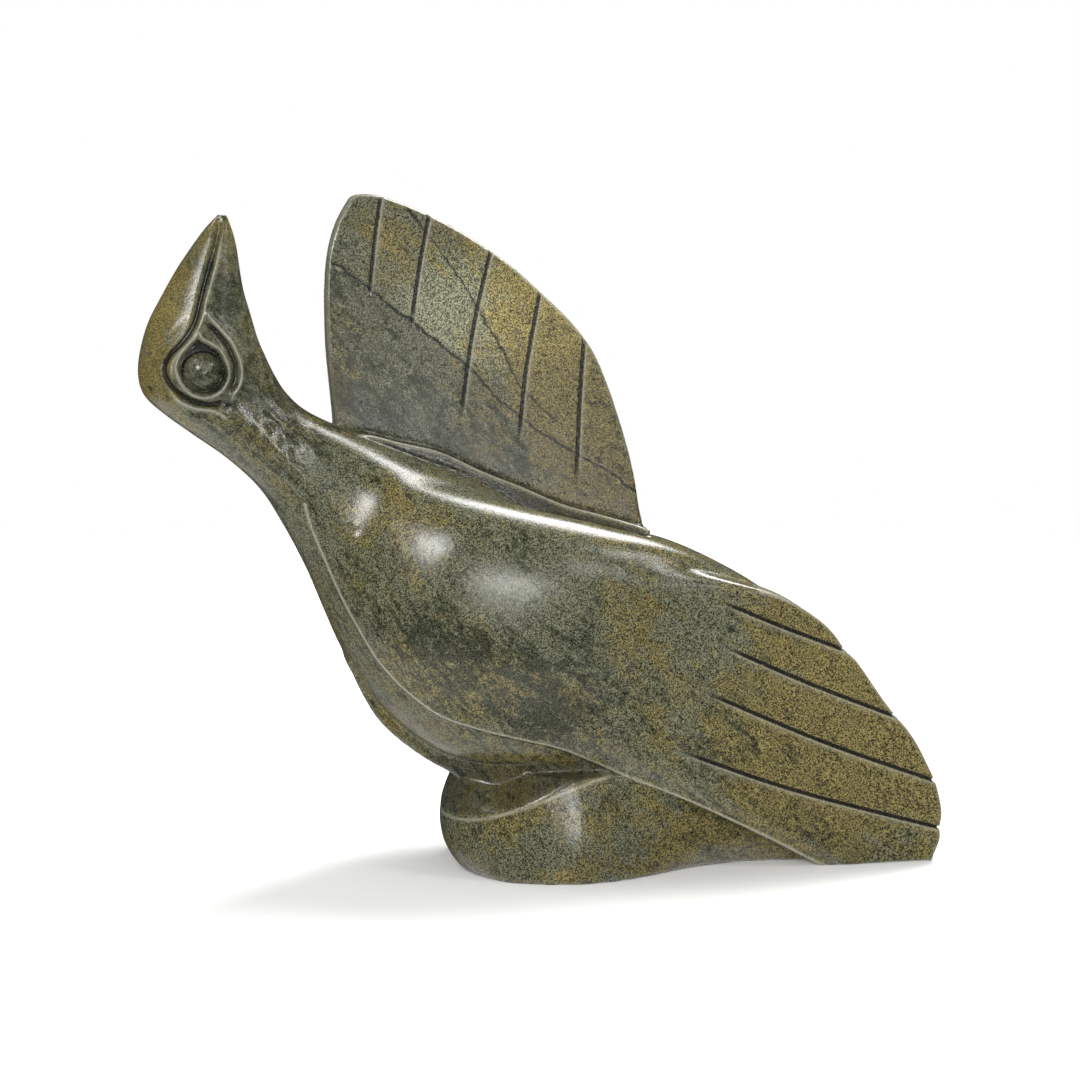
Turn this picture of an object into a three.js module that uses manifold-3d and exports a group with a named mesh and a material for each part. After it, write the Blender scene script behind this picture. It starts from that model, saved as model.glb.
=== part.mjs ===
// Green serpentine carving of a bird looking up, one wing folded and one wing raised.
// The bird and the rounded foot under it are one stone.
// Millimetres, +Z up, the foot stands on z = 0. The head is toward -X and the folded wing toward -Y.
import * as THREE from "three";
import Module from "manifold-3d";

// Driving dimensions
const CELL = 1.7;
const TRIANGLES = 9900;
const WING_STEP = 3.6;
const GROOVE_DEPTH = 1.8;
const GROOVE_HALF = 1.6;
const EYE = { x: -184, z: 275.5, ball: 10.4, ballY: 14.2, socket: 14, depth: 5.5 };
const BOX = { x: [-224, 226], y: [-76, 66], z: [-10, 374] };

// Trunk from the beak to the tail. Each row is one rib, seen from the side.
// Upper x and z, lower x and z, y of its middle, near half-width, far half-width, upper and lower fullness.
const RIBS = [
  [-168.6, 356.6, -174.6, 357.2, 0, 2.5, 2.5, 2.2, 2.2],
  [-166.4, 348, -180.8, 349.8, 0, 5, 5, 2.3, 2.3],
  [-164.2, 338.5, -188.8, 339.2, 0, 8, 8, 2.4, 2.4],
  [-162.6, 328, -196.4, 328, 0, 11, 11, 2.5, 2.4],
  [-160.5, 316, -204.8, 313.5, 0, 14.5, 14.5, 2.6, 2.4],
  [-157.4, 305, -211.8, 300, 0, 18, 18, 2.6, 2.4],
  [-153.8, 292, -216.3, 284.5, 0, 21.5, 21.5, 2.5, 2.4],
  [-149.6, 281.6, -217.3, 271.6, 0, 23.5, 23.5, 2.4, 2.4],
  [-144.8, 271.4, -213.8, 261.2, 0, 24, 24, 2.3, 2.3],
  [-139.2, 262.4, -203.7, 251.6, 0, 23, 23, 2.2, 2.2],
  [-130.2, 253.5, -189.6, 241, 0, 22.5, 22.5, 2.2, 2.2],
  [-117.4, 246.3, -170.4, 226.8, 0, 23, 23, 2.2, 2.2],
  [-102.8, 240.4, -153.6, 210.2, 0, 25, 25, 2.2, 2.2],
  [-85, 233.4, -141, 189.6, 0, 29, 29, 2.3, 2.2],
  [-66.6, 224.5, -129, 165.4, 0, 35, 36, 2.5, 2.2],
  [-47.4, 216, -120.6, 144.5, 0, 41, 43, 2.7, 2.2],
  [-31, 207.5, -111, 122, 0, 46, 50, 2.8, 2.2],
  [-14.3, 197.5, -97.5, 99, 0, 50, 56, 2.8, 2.4],
  [2.4, 189, -81.5, 81, 0, 53, 59, 2.8, 2.8],
  [22, 182, -56, 64, 0, 55, 61, 2.8, 3.6],
  [44.6, 178.4, -22.5, 57, 0, 55, 60, 2.8, 4.2],
  [67.3, 174.4, 11, 51, 0, 53, 52, 2.8, 4],
  [90, 164.8, 46, 38, 0, 48, 42, 2.7, 3.5],
  [116, 150.4, 92, 22, 0, 42, 32, 2.6, 3],
  [136.5, 136, 124, 8, 0, 34, 20, 2.5, 2.5],
];

// Bulge of the folded wing on the flank, in rows like those of the trunk
const WING_RIBS = [
  [-108, 216, -122, 186, -12, 4, 4, 2, 2],
  [-96, 216, -116, 166, -19, 10, 8, 2, 2],
  [-78, 213, -106, 144, -28, 17, 12, 2.1, 2],
  [-48, 206.5, -86, 120, -35, 24.5, 14, 2.3, 2],
  [-10, 197, -60, 101, -38, 27, 15, 2.5, 2],
  [25, 188, -27, 90, -38, 27, 15, 2.5, 2],
  [58, 178.5, 8, 80, -38, 21, 14, 2.3, 2],
  [86, 165, 48, 66, -37, 12, 12, 2, 2],
  [104, 150, 80, 64, -35, 5, 8, 2, 2],
];

// Lower edge of the folded wing, from the neck back to the ground
const WING_EDGE = [
  [-132.4, 204], [-129, 191], [-121, 171], [-115.5, 157.5], [-109.7, 145.5], [-98.3, 124.6],
  [-89.7, 113.5], [-81.4, 105], [-64, 92], [-42.3, 84.3], [-20.6, 78.3], [1.2, 72], [22.3, 62],
  [43.3, 52.7], [72.5, 40], [101.5, 25.4], [123.4, 14], [136.6, 6.5], [153, -2],
];

// Fan of the folded wing: crest, trailing edge, ground, lower edge, and back inside the body
const FAN = [
  [24, 176], [46.5, 174.8], [79.7, 165.4], [102, 158.8], [116, 154.4], [130, 147.9], [144.4, 138.2],
  [153, 130], [159.4, 121], [166.4, 114], [173.6, 104], [181.2, 93], [188.9, 83], [196, 74.7],
  [202.4, 65.2], [209.2, 52], [212.4, 45], [214.8, 37.5], [216.8, 27], [215.8, 18.5], [216, 12],
  [213, 4], [207, -5], [180, -8], [153, -2], [136.6, 6.5], [123.4, 14], [101.5, 25.4],
  [72.5, 40], [43.3, 52.7], [22.3, 62], [1.2, 72], [-14, 90], [-10, 130],
];

// Raised wing outline
const RAISED = [
  [-110.6, 228], [-110.8, 241.5], [-111.8, 255.5], [-114, 282.5], [-114.4, 304], [-114.2, 315],
  [-112.8, 331], [-109.7, 344.5], [-105.8, 354], [-101.2, 361.6], [-97.5, 365.6], [-88, 366.2],
  [-77, 363.6], [-61, 357.3], [-44.5, 349], [-28, 338.8], [-11.7, 327.3], [4.6, 312.5], [21, 296.3],
  [33, 280], [41.3, 260], [47.8, 239], [53.5, 216], [56.7, 193], [57.8, 183], [50, 168], [20, 160],
  [-60, 190],
];

// Thick root of the raised wing, whose top is a ledge
const ROOT = [
  [-106, 228], [-98.5, 238.5], [-77, 233.8], [-55, 228], [-33, 217.4], [-10.5, 208], [12, 198],
  [34.4, 191.3], [56.6, 184.2], [60.6, 181], [54, 174], [20, 165], [-60, 200],
];

// Keel under the breast, which runs down into the foot
const KEEL = [
  [-104, 142], [-109.6, 128], [-108.8, 115.6], [-104.3, 105.9], [-99.3, 94.9], [-92.9, 83.9], [-84.6, 74.6],
  [-75.6, 67.2], [-64.6, 60], [-54.4, 54.8], [-49, 50], [-46, 40], [-30, 20], [60, 20], [60, 60],
  [0, 100], [-70, 140],
];

// Foot: outline on the ground and at its widest, in plan
const FOOT_GROUND = [
  [-42, 0], [-44, -27], [-31, -51.5], [-16, -60], [0, -64.2], [16, -65.2], [33, -62],
  [51.5, -55], [77, -42], [108, -35], [140, -38], [160, -34], [160, 4], [130, 20], [90, 32],
  [50, 42], [10, 44], [-20, 36], [-37, 20],
];
const FOOT_WAIST = [
  [-57.6, 2], [-58.2, -24], [-45, -46.5], [-18, -61], [0, -65.8], [14, -66.8], [30, -64.2], [48, -59.4],
  [77, -50], [108, -42.5], [140, -39], [168, -30], [168, 6], [135, 25], [92, 38], [50, 47],
  [10, 49], [-26, 43], [-48, 26],
];
const FOOT_WAIST_Z = 31;

// Feather grooves, each from the outer edge inward
const FAN_GROOVES = [
  [[162, 120], [123, 135.7], [87, 151.7]],
  [[192, 81.5], [136.5, 104.6], [86, 128.6]],
  [[216, 44], [145.5, 71.4], [70, 106.4]],
  [[221, 17], [131.7, 44], [56.6, 73.6]],
];
const RAISED_GROOVES = [
  [[-82.3, 368], [-86.8, 341.5], [-91, 309]],
  [[-56, 357], [-63, 325], [-68.4, 292.7]],
  [[-22, 338], [-34, 292], [-43, 238]],
  [[5, 317], [-5, 270], [-10.3, 229.3]],
  [[28.3, 289], [24.7, 253], [21, 204]],
];

// Line of the mouth, from the tip of the beak round the front of the eye
const MOUTH = [
  [-172.3, 358], [-174.5, 345], [-177.5, 334.5], [-181, 324], [-184, 313.7], [-186.5, 304.5],
  [-189.4, 298], [-194.3, 291.3], [-200.6, 284.5], [-203.5, 277], [-201, 268], [-195, 262.5],
  [-187.6, 259.6], [-179, 259.3], [-173, 262],
];
const BROW = [
  [-181, 308], [-180, 303], [-174.8, 297], [-169.5, 290.5], [-166, 283], [-165.5, 274], [-168, 266],
];
const NECK_RIDGES = [
  [[-159.5, 266.5], [-150, 257.5], [-141, 248.7], [-132, 240], [-120, 232.5]],
  [[-165, 258.3], [-154, 244.8], [-139.3, 226], [-123.6, 206.7], [-110.4, 190.2], [-106.8, 182]],
];

const mix = (a, b, t) => a + (b - a) * t;
const clamp = (x, low, high) => Math.min(high, Math.max(low, x));

function ease(low, high, x) {
  const t = clamp((x - low) / (high - low), 0, 1);
  return t * t * (3 - 2 * t);
}

// Union of two solids with a fillet of size k
function join(a, b, k) {
  const h = Math.max(k - Math.abs(a - b), 0) / k;
  return Math.min(a, b) - (h * h * h * k) / 6;
}

// Corner of two faces rounded to radius r
function corner(a, b, r) {
  const inside = Math.min(Math.max(a + r, b + r), 0);
  return inside - r + Math.hypot(Math.max(a + r, 0), Math.max(b + r, 0));
}

// Smooth curve through rows of numbers
function curve(rows, steps, closed = false) {
  const n = rows.length;
  const row = (i) => (closed ? rows[(i + n) % n] : rows[clamp(i, 0, n - 1)]);
  const out = [];
  for (let i = 0; i < (closed ? n : n - 1); i++) {
    for (let j = 0; j < steps; j++) {
      const t = j / steps;
      const [a, b, c, d] = [row(i - 1), row(i), row(i + 1), row(i + 2)];
      out.push(b.map((v, m) => {
        const slope = c[m] - a[m];
        const bend = 2 * a[m] - 5 * v + 4 * c[m] - d[m];
        const twist = 3 * (v - c[m]) + d[m] - a[m];
        return v + 0.5 * t * (slope + t * (bend + t * twist));
      }));
    }
  }
  if (!closed) out.push(rows[n - 1]);
  return out;
}

// Distance to a line, how far along it, and the side: positive on the left of its direction
function toLine(line, x, z) {
  let best = Infinity;
  let along = 0;
  let side = 0;
  for (let i = 0; i + 1 < line.length; i++) {
    const ex = line[i + 1][0] - line[i][0];
    const ez = line[i + 1][1] - line[i][1];
    const px = x - line[i][0];
    const pz = z - line[i][1];
    const t = clamp((px * ex + pz * ez) / (ex * ex + ez * ez), 0, 1);
    const d = Math.hypot(px - ex * t, pz - ez * t);
    if (d < best) {
      best = d;
      along = (i + t) / (line.length - 1);
      side = ex * pz - ez * px;
    }
  }
  return [best, along, Math.sign(side) * best];
}

// Signed distance to a closed outline, negative inside
function toOutline(line, x, z) {
  let best = Infinity;
  let inside = false;
  for (let i = 0, j = line.length - 1; i < line.length; j = i++) {
    const ex = line[i][0] - line[j][0];
    const ez = line[i][1] - line[j][1];
    const px = x - line[j][0];
    const pz = z - line[j][1];
    const t = clamp((px * ex + pz * ez) / (ex * ex + ez * ez), 0, 1);
    best = Math.min(best, Math.hypot(px - ex * t, pz - ez * t));
    if (line[i][1] > z !== line[j][1] > z) {
      const cut = line[j][0] + ((z - line[j][1]) * ex) / ez;
      if (x < cut) inside = !inside;
    }
  }
  return inside ? -best : best;
}

const ribs = curve(RIBS, 12);
const wingRibs = curve(WING_RIBS, 12);
const wingEdge = curve(WING_EDGE, 6);
const fan = curve(FAN, 6, true);
const raised = curve(RAISED, 6, true);
const root = curve(ROOT, 6, true);
const keel = curve(KEEL, 6, true);
const footGround = curve(FOOT_GROUND, 6, true);
const footWaist = curve(FOOT_WAIST, 6, true);
const fanGrooves = FAN_GROOVES.map((g) => curve(g, 8));
const raisedGrooves = RAISED_GROOVES.map((g) => curve(g, 8));
const mouth = curve(MOUTH, 6);
const brow = curve(BROW, 6);
const neckRidges = NECK_RIDGES.map((g) => curve(g, 6));

// Place among the ribs of a point seen from the side
function amongRibs(ribs, x, z) {
  let found = null;
  let last = 0;
  for (let i = 0; i < ribs.length; i++) {
    const r = ribs[i];
    const hx = (r[0] - r[2]) / 2;
    const hz = (r[1] - r[3]) / 2;
    const px = x - (r[0] + r[2]) / 2;
    const pz = z - (r[1] + r[3]) / 2;
    const turn = px * hz - pz * hx;
    if (i > 0 && turn > 0 !== last > 0) {
      const t = last / (last - turn);
      const q = ribs[i - 1].map((v, m) => mix(v, r[m], t));
      const gx = (q[0] - q[2]) / 2;
      const gz = (q[1] - q[3]) / 2;
      const h = Math.hypot(gx, gz);
      const s = ((x - (q[0] + q[2]) / 2) * gx + (z - (q[1] + q[3]) / 2) * gz) / (h * h);
      if (!found || Math.abs(s) < Math.abs(found.s)) {
        found = { s, h, mid: q[4], near: q[5], far: q[6], up: q[7], low: q[8], past: 0 };
      }
    }
    last = turn;
  }
  if (found) return found;
  const ends = [ribs[0], ribs[ribs.length - 1]].map((r) => {
    const gx = (r[0] - r[2]) / 2;
    const gz = (r[1] - r[3]) / 2;
    const h = Math.hypot(gx, gz);
    const px = x - (r[0] + r[2]) / 2;
    const pz = z - (r[1] + r[3]) / 2;
    const past = Math.abs(px * gz - pz * gx) / h;
    const s = (px * gx + pz * gz) / (h * h);
    return { s, h, mid: r[4], near: r[5], far: r[6], up: r[7], low: r[8], past };
  });
  return ends[0].past + Math.abs(ends[0].s * ends[0].h) < ends[1].past + Math.abs(ends[1].s * ends[1].h)
    ? ends[0]
    : ends[1];
}

function ribField(c, across) {
  const y = across - c.mid;
  const w = y < 0 ? c.near : c.far;
  const p = mix(c.low, c.up, ease(-0.3, 0.3, c.s));
  const a = Math.abs(c.s);
  const b = Math.abs(y) / w;
  const f = Math.max(Math.pow(Math.pow(a, p) + Math.pow(b, p), 1 / p), 1e-4);
  const ga = Math.pow(a / f, p - 1) / c.h;
  const gb = Math.pow(b / f, p - 1) / w;
  const d = (f - 1) / Math.hypot(ga, gb);
  return c.past > 0 ? Math.hypot(Math.max(d, 0), c.past) : d;
}

// V cut along a line, fading out at its inner end
function groove(line, x, z, half, depth) {
  const [d, along] = toLine(line, x, z);
  const t = clamp(1 - d / half, 0, 1);
  return depth * t * (1 - ease(0.72, 1, along));
}

// Carving of the head, the same on both cheeks: depth added to the stone
function headRelief(x, z) {
  const eye = Math.hypot(x - EYE.x, z - EYE.z);
  const [lip, alongLip, lipSide] = toLine(mouth, x, z);
  const [ridge] = toLine(brow, x, z);
  const fade = ease(0, 0.08, alongLip) * (1 - ease(0.9, 1, alongLip));
  let relief = -EYE.depth * (1 - ease(EYE.socket - 4.5, EYE.socket + 0.5, eye));
  relief += 1.1 * Math.exp(-(((eye - EYE.socket - 1.5) / 1.4) ** 2));
  relief -= fade * 2.2 * Math.exp(-((lip / 1.6) ** 2));
  relief += fade * 1.2 * ease(-0.5, 3, lipSide) * (1 - ease(5, 12, lipSide));
  relief += 1.3 * Math.exp(-((ridge / 2) ** 2));
  return relief;
}

// Everything that depends only on the place seen from the side
function sideOn(x, z) {
  const c = amongRibs(ribs, x, z);
  const [, alongEdge, edge] = toLine(wingEdge, x, z);
  c.bulge = amongRibs(wingRibs, x, z);
  c.edge = edge;
  c.head = z > 235 && x < -125 ? headRelief(x, z) : 0;
  c.neck = 0;
  for (const ridge of neckRidges) {
    const [away, along] = toLine(ridge, x, z);
    c.neck += Math.exp(-((away / 4) ** 2)) * ease(0, 0.3, along) * (1 - ease(0.7, 1, along));
  }
  c.wing = WING_STEP * ease(0.02, 0.25, alongEdge) * ease(-0.9, 0.9, edge);
  c.fan = toOutline(fan, x, z) - 0.2;
  c.fanNear = -(40 + 15.5 * ease(-20, 45, x) - 3 * ease(70, 200, x)) + 2.2 * (1 - ease(0, 11, edge));
  c.fanThick = mix(30, 11, ease(60, 215, x));
  c.fanRound = mix(1.3, mix(9, 2, ease(60, 130, x)), ease(4, 14, edge));
  c.fanJoin = Math.min(mix(1.5, 20, ease(0, 16, edge)), mix(5, 20, ease(-2, 18, -c.fan)));
  c.fanGroove = Math.max(...fanGrooves.map((g) => groove(g, x, z, GROOVE_HALF, GROOVE_DEPTH)));
  c.raised = toOutline(raised, x, z);
  c.root = toOutline(root, x, z);
  c.raisedNear = 6 + (z - 200) * 0.17;
  c.raisedThick = mix(27, 11, ease(190, 366, z));
  c.raisedGroove = Math.max(...raisedGrooves.map((g) => groove(g, x, z, GROOVE_HALF, GROOVE_DEPTH)));
  c.keel = toOutline(keel, x, z);
  c.keelHalf = 10 + 36 * ease(-100, 0, x);
  return c;
}

// Everything that depends only on the place seen from above
function fromAbove(x, y) {
  const waist = toOutline(footWaist, x, y);
  const lean = mix(4.8, 9, ease(-45, 30, x));
  const inset = Math.max(-waist, 0);
  const front = 1 - ease(-58, -22, x);
  const crest = 31 + 27 * ease(-62, 40, x);
  const slope = mix(0.55, 3, front * front);
  const facet = crest + slope * inset + 0.02 * inset * inset;
  const top = Math.min(facet, mix(63, 57, ease(-56, -38, x)));
  return { ground: toOutline(footGround, x, y), waist, lean, top };
}

function plate(outline, near, thick, y, r) {
  const face = Math.max(near - y, y - near - thick);
  return corner(outline, face, r);
}

function carving(c, g, y, z) {
  let d = ribField(c, y);
  d = join(d, ribField(c.bulge, y), 12);
  const nearSide = 1 - ease(-7, 7, y);
  const farSide = 1 - nearSide;
  d -= c.head + c.neck * nearSide + c.wing * (nearSide + 0.8 * farSide);
  const blade = plate(c.fan, c.fanNear, c.fanThick, y, c.fanRound);
  d = join(d, blade, c.fanJoin);
  d += c.fanGroove * (1 - ease(-40, -34, y));
  const low = Math.pow(1 - (1 - clamp(z / FOOT_WAIST_Z, 0, 1)) ** 2, 0.6);
  const high = Math.pow(Math.max(z - 14, 0) / 44, 1.4);
  const wall = mix(g.ground, g.waist, low) + g.lean * high;
  d = join(d, corner(wall, (z - g.top) * 0.8, 1.2), 1.6);
  d = join(d, corner(c.keel, Math.abs(y) - c.keelHalf, 2.5), 2);
  d = Math.min(d, Math.hypot(c.dx, Math.abs(y) - EYE.ballY) - EYE.ball);
  d = join(d, plate(c.root, -5, 34, y, 1.2), 4);
  const middle = Math.abs(y - c.raisedNear - c.raisedThick / 2);
  const wing = plate(c.raised, c.raisedNear, c.raisedThick, y, 2);
  const cut = c.raisedGroove * ease(c.raisedThick * 0.3, c.raisedThick * 0.4, middle);
  return Math.max(join(d, wing + cut, 2.5), -6 - z);
}

// Samples of the carving on a grid
const span = (axis) => Math.ceil((BOX[axis][1] - BOX[axis][0]) / CELL) + 1;
const [nx, ny, nz] = [span("x"), span("y"), span("z")];
const at = (axis, i) => BOX[axis][0] + i * CELL;
const index = (i, j, k) => (i * ny + j) * nz + k;

function sample() {
  const values = new Float32Array(nx * ny * nz);
  for (let i = 0; i < nx; i++) {
    const x = at("x", i);
    const above = Array.from({ length: ny }, (_, j) => fromAbove(x, at("y", j)));
    for (let k = 0; k < nz; k++) {
      const z = at("z", k);
      const side = sideOn(x, z);
      side.dx = Math.hypot(x - EYE.x, z - EYE.z);
      for (let j = 0; j < ny; j++) values[index(i, j, k)] = carving(side, above[j], at("y", j), z);
    }
  }
  return values;
}

const CORNERS = [0, 1, nz, nz + 1, ny * nz, ny * nz + 1, ny * nz + nz, ny * nz + nz + 1];

// Samples are nudged to the stone's side where the surface would touch itself
function settle(values) {
  const steps = [ny * nz, nz, 1];
  for (let changed = 1; changed > 0; ) {
    changed = 0;
    for (let i = 0; i < nx - 1; i++) {
      for (let j = 0; j < ny - 1; j++) {
        for (let k = 0; k < nz - 1; k++) {
          const base = index(i, j, k);
          for (let axis = 0; axis < 3; axis++) {
            const u = steps[(axis + 1) % 3];
            const v = steps[(axis + 2) % 3];
            const same = values[base] < 0 === values[base + u + v] < 0;
            const cross = values[base + u] < 0 === values[base + v] < 0;
            if (!same || !cross || values[base] < 0 === values[base + u] < 0) continue;
            const [p, q] = values[base] < 0 ? [base + u, base + v] : [base, base + u + v];
            values[values[p] < values[q] ? p : q] = -1e-3;
            changed++;
          }
          for (let m = 0; m < 4; m++) {
            const p = base + (m >> 1) * nz + (m & 1);
            const q = base + ny * nz + (1 - (m >> 1)) * nz + 1 - (m & 1);
            const beside = base + (m >> 1) * nz + 1 - (m & 1);
            const here = values[p] < 0;
            if (values[q] < 0 !== here || values[beside] < 0 === here) continue;
            if (CORNERS.filter((o) => values[base + o] < 0 === here).length > 2) continue;
            values[p] = here ? 1e-3 : -1e-3;
            changed++;
          }
        }
      }
    }
  }
  return values;
}

// Surface of the samples: one point in each cell that the surface crosses
function skin(values) {
  const ids = new Int32Array(values.length).fill(-1);
  const points = [];
  const faces = [];
  const offset = CORNERS.map((_, m) => [m >> 2, (m >> 1) & 1, m & 1]);
  const edges = [];
  for (let a = 0; a < 8; a++) {
    for (const bit of [1, 2, 4]) if (!(a & bit)) edges.push([a, a | bit]);
  }
  for (let i = 0; i < nx - 1; i++) {
    for (let j = 0; j < ny - 1; j++) {
      for (let k = 0; k < nz - 1; k++) {
        const base = index(i, j, k);
        let mask = 0;
        for (let m = 0; m < 8; m++) if (values[base + CORNERS[m]] < 0) mask |= 1 << m;
        if (mask === 0 || mask === 255) continue;
        const p = [0, 0, 0];
        let count = 0;
        for (const [a, b] of edges) {
          const va = values[base + CORNERS[a]];
          const vb = values[base + CORNERS[b]];
          if (va < 0 === vb < 0) continue;
          const t = va / (va - vb);
          for (let m = 0; m < 3; m++) p[m] += mix(offset[a][m], offset[b][m], t);
          count++;
        }
        ids[base] = points.length;
        points.push([at("x", i + p[0] / count), at("y", j + p[1] / count), at("z", k + p[2] / count)]);
      }
    }
  }
  const steps = [ny * nz, nz, 1];
  for (let i = 1; i < nx - 1; i++) {
    for (let j = 1; j < ny - 1; j++) {
      for (let k = 1; k < nz - 1; k++) {
        const base = index(i, j, k);
        for (let axis = 0; axis < 3; axis++) {
          const here = values[base] < 0;
          if (here === values[base + steps[axis]] < 0) continue;
          const u = steps[(axis + 1) % 3];
          const v = steps[(axis + 2) % 3];
          const ring = [ids[base - u - v], ids[base - v], ids[base], ids[base - u]];
          if (!here) ring.reverse();
          faces.push([ring[0], ring[1], ring[2]], [ring[0], ring[2], ring[3]]);
        }
      }
    }
  }
  return { points, faces };
}

// Fewer triangles: the edge whose loss moves the surface least goes first
function thin({ points, faces }, wanted) {
  const n = points.length;
  const around = Array.from({ length: n }, () => []);
  const live = new Uint8Array(faces.length).fill(1);
  const quadric = new Float64Array(n * 10);
  const stamp = new Int32Array(n);
  const normal = (a, b, c) => {
    const [ux, uy, uz] = [b[0] - a[0], b[1] - a[1], b[2] - a[2]];
    const [vx, vy, vz] = [c[0] - a[0], c[1] - a[1], c[2] - a[2]];
    return [uy * vz - uz * vy, uz * vx - ux * vz, ux * vy - uy * vx];
  };
  faces.forEach((f, id) => {
    const m = normal(points[f[0]], points[f[1]], points[f[2]]);
    const area = Math.hypot(...m) || 1e-12;
    const [a, b, c] = m.map((v) => v / area);
    const d = -(a * points[f[0]][0] + b * points[f[0]][1] + c * points[f[0]][2]);
    const q = [a * a, a * b, a * c, a * d, b * b, b * c, b * d, c * c, c * d, d * d];
    const care = points[f[0]][0] < -150 && points[f[0]][2] > 245 ? 5 : 1;
    for (const v of f) {
      around[v].push(id);
      for (let m2 = 0; m2 < 10; m2++) quadric[v * 10 + m2] += q[m2] * area * care;
    }
  });
  for (let v = 0; v < n; v++) {
    const [x, y, z] = points[v];
    const w = 0.004 * CELL * CELL;
    const q = [1, 0, 0, -x, 1, 0, -y, 1, -z, x * x + y * y + z * z];
    for (let m = 0; m < 10; m++) quadric[v * 10 + m] += w * q[m];
  }
  const cost = (q, x, y, z) =>
    q[0] * x * x + 2 * q[1] * x * y + 2 * q[2] * x * z + 2 * q[3] * x + q[4] * y * y +
    2 * q[5] * y * z + 2 * q[6] * y + q[7] * z * z + 2 * q[8] * z + q[9];
  const plan = (a, b) => {
    const q = new Array(10);
    for (let m = 0; m < 10; m++) q[m] = quadric[a * 10 + m] + quadric[b * 10 + m];
    const c0 = q[4] * q[7] - q[5] * q[5];
    const c1 = q[2] * q[5] - q[1] * q[7];
    const c2 = q[1] * q[5] - q[2] * q[4];
    const det = q[0] * c0 + q[1] * c1 + q[2] * c2;
    const [pa, pb] = [points[a], points[b]];
    let best = pa.map((v, m) => (v + pb[m]) / 2);
    if (det > 1e-9 * (q[0] + q[4] + q[7]) ** 3) {
      const x = -(c0 * q[3] + c1 * q[6] + c2 * q[8]) / det;
      const y = -(c1 * q[3] + (q[0] * q[7] - q[2] * q[2]) * q[6] + (q[1] * q[2] - q[0] * q[5]) * q[8]) / det;
      const z = -(c2 * q[3] + (q[1] * q[2] - q[0] * q[5]) * q[6] + (q[0] * q[4] - q[1] * q[1]) * q[8]) / det;
      const reach = 2 * Math.hypot(pa[0] - pb[0], pa[1] - pb[1], pa[2] - pb[2]);
      if (Math.hypot(x - best[0], y - best[1], z - best[2]) < reach) best = [x, y, z];
    }
    return { a, b, at: best, price: Math.max(cost(q, ...best), 0), sa: stamp[a], sb: stamp[b] };
  };
  const heap = [];
  const push = (e) => {
    let i = heap.push(e) - 1;
    while (i > 0) {
      const up = (i - 1) >> 1;
      if (heap[up].price <= e.price) break;
      heap[i] = heap[up];
      i = up;
    }
    heap[i] = e;
  };
  const pop = () => {
    const top = heap[0];
    const e = heap.pop();
    if (!heap.length) return top;
    let i = 0;
    for (;;) {
      let next = 2 * i + 1;
      if (next >= heap.length) break;
      if (next + 1 < heap.length && heap[next + 1].price < heap[next].price) next++;
      if (heap[next].price >= e.price) break;
      heap[i] = heap[next];
      i = next;
    }
    heap[i] = e;
    return top;
  };
  const others = (v) => {
    const set = new Set();
    for (const id of around[v]) if (live[id]) for (const o of faces[id]) if (o !== v) set.add(o);
    return set;
  };
  for (const f of faces) {
    for (let m = 0; m < 3; m++) {
      const [a, b] = [f[m], f[(m + 1) % 3]];
      if (a < b) push(plan(a, b));
    }
  }
  const turns = (v, gone, to) =>
    around[v].some((id) => {
      if (!live[id] || faces[id].includes(gone)) return false;
      const f = faces[id].map((o) => points[o]);
      const g = faces[id].map((o) => (o === v ? to : points[o]));
      const before = normal(...f);
      const after = normal(...g);
      const size = Math.hypot(...after);
      const dot = before[0] * after[0] + before[1] * after[1] + before[2] * after[2];
      const edge = Math.max(...g.map((p, m) => {
        const q = g[(m + 1) % 3];
        return (p[0] - q[0]) ** 2 + (p[1] - q[1]) ** 2 + (p[2] - q[2]) ** 2;
      }));
      return dot < 0.35 * Math.hypot(...before) * size || size < 0.03 * edge;
    });
  let left = faces.length;
  while (left > wanted && heap.length) {
    const e = pop();
    const { a, b } = e;
    if (stamp[a] !== e.sa || stamp[b] !== e.sb) continue;
    const [ra, rb] = [others(a), others(b)];
    let shared = 0;
    for (const v of ra) if (rb.has(v)) shared++;
    if (shared !== 2 || turns(a, b, e.at) || turns(b, a, e.at)) continue;
    for (const id of around[b]) {
      if (!live[id]) continue;
      if (faces[id].includes(a)) {
        live[id] = 0;
        left--;
      } else {
        faces[id] = faces[id].map((v) => (v === b ? a : v));
        around[a].push(id);
      }
    }
    around[a] = around[a].filter((id) => live[id]);
    points[a] = e.at;
    for (let m = 0; m < 10; m++) quadric[a * 10 + m] += quadric[b * 10 + m];
    stamp[a]++;
    stamp[b] = -1;
    for (const v of others(a)) push(plan(a, v));
  }
  return { points, faces: faces.filter((_, id) => live[id]) };
}


const { points, faces } = thin(skin(settle(sample())), TRIANGLES);
const used = [...new Set(faces.flat())];
const place = new Map(used.map((v, i) => [v, i]));
const geometry = new THREE.BufferGeometry();
geometry.setAttribute("position", new THREE.Float32BufferAttribute(used.flatMap((v) => points[v]), 3));
geometry.setIndex(faces.flatMap((f) => f.map((v) => place.get(v))));

// The underside is cut flat where the stone stands
const wasm = await Module();
wasm.setup();
const rough = new wasm.Manifold(new wasm.Mesh({
  numProp: 3,
  vertProperties: geometry.getAttribute("position").array,
  triVerts: new Uint32Array(geometry.getIndex().array),
}));
const cut = rough.trimByPlane([0, 0, 1], 0).getMesh();
const carved = new THREE.BufferGeometry();
carved.setAttribute("position", new THREE.Float32BufferAttribute(cut.vertProperties, 3));
carved.setIndex(new THREE.BufferAttribute(cut.triVerts, 1));
carved.computeBoundingBox();
const { min, max } = carved.boundingBox;
carved.translate(-(min.x + max.x) / 2, -(min.y + max.y) / 2, -min.z);
carved.computeVertexNormals();

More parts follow.
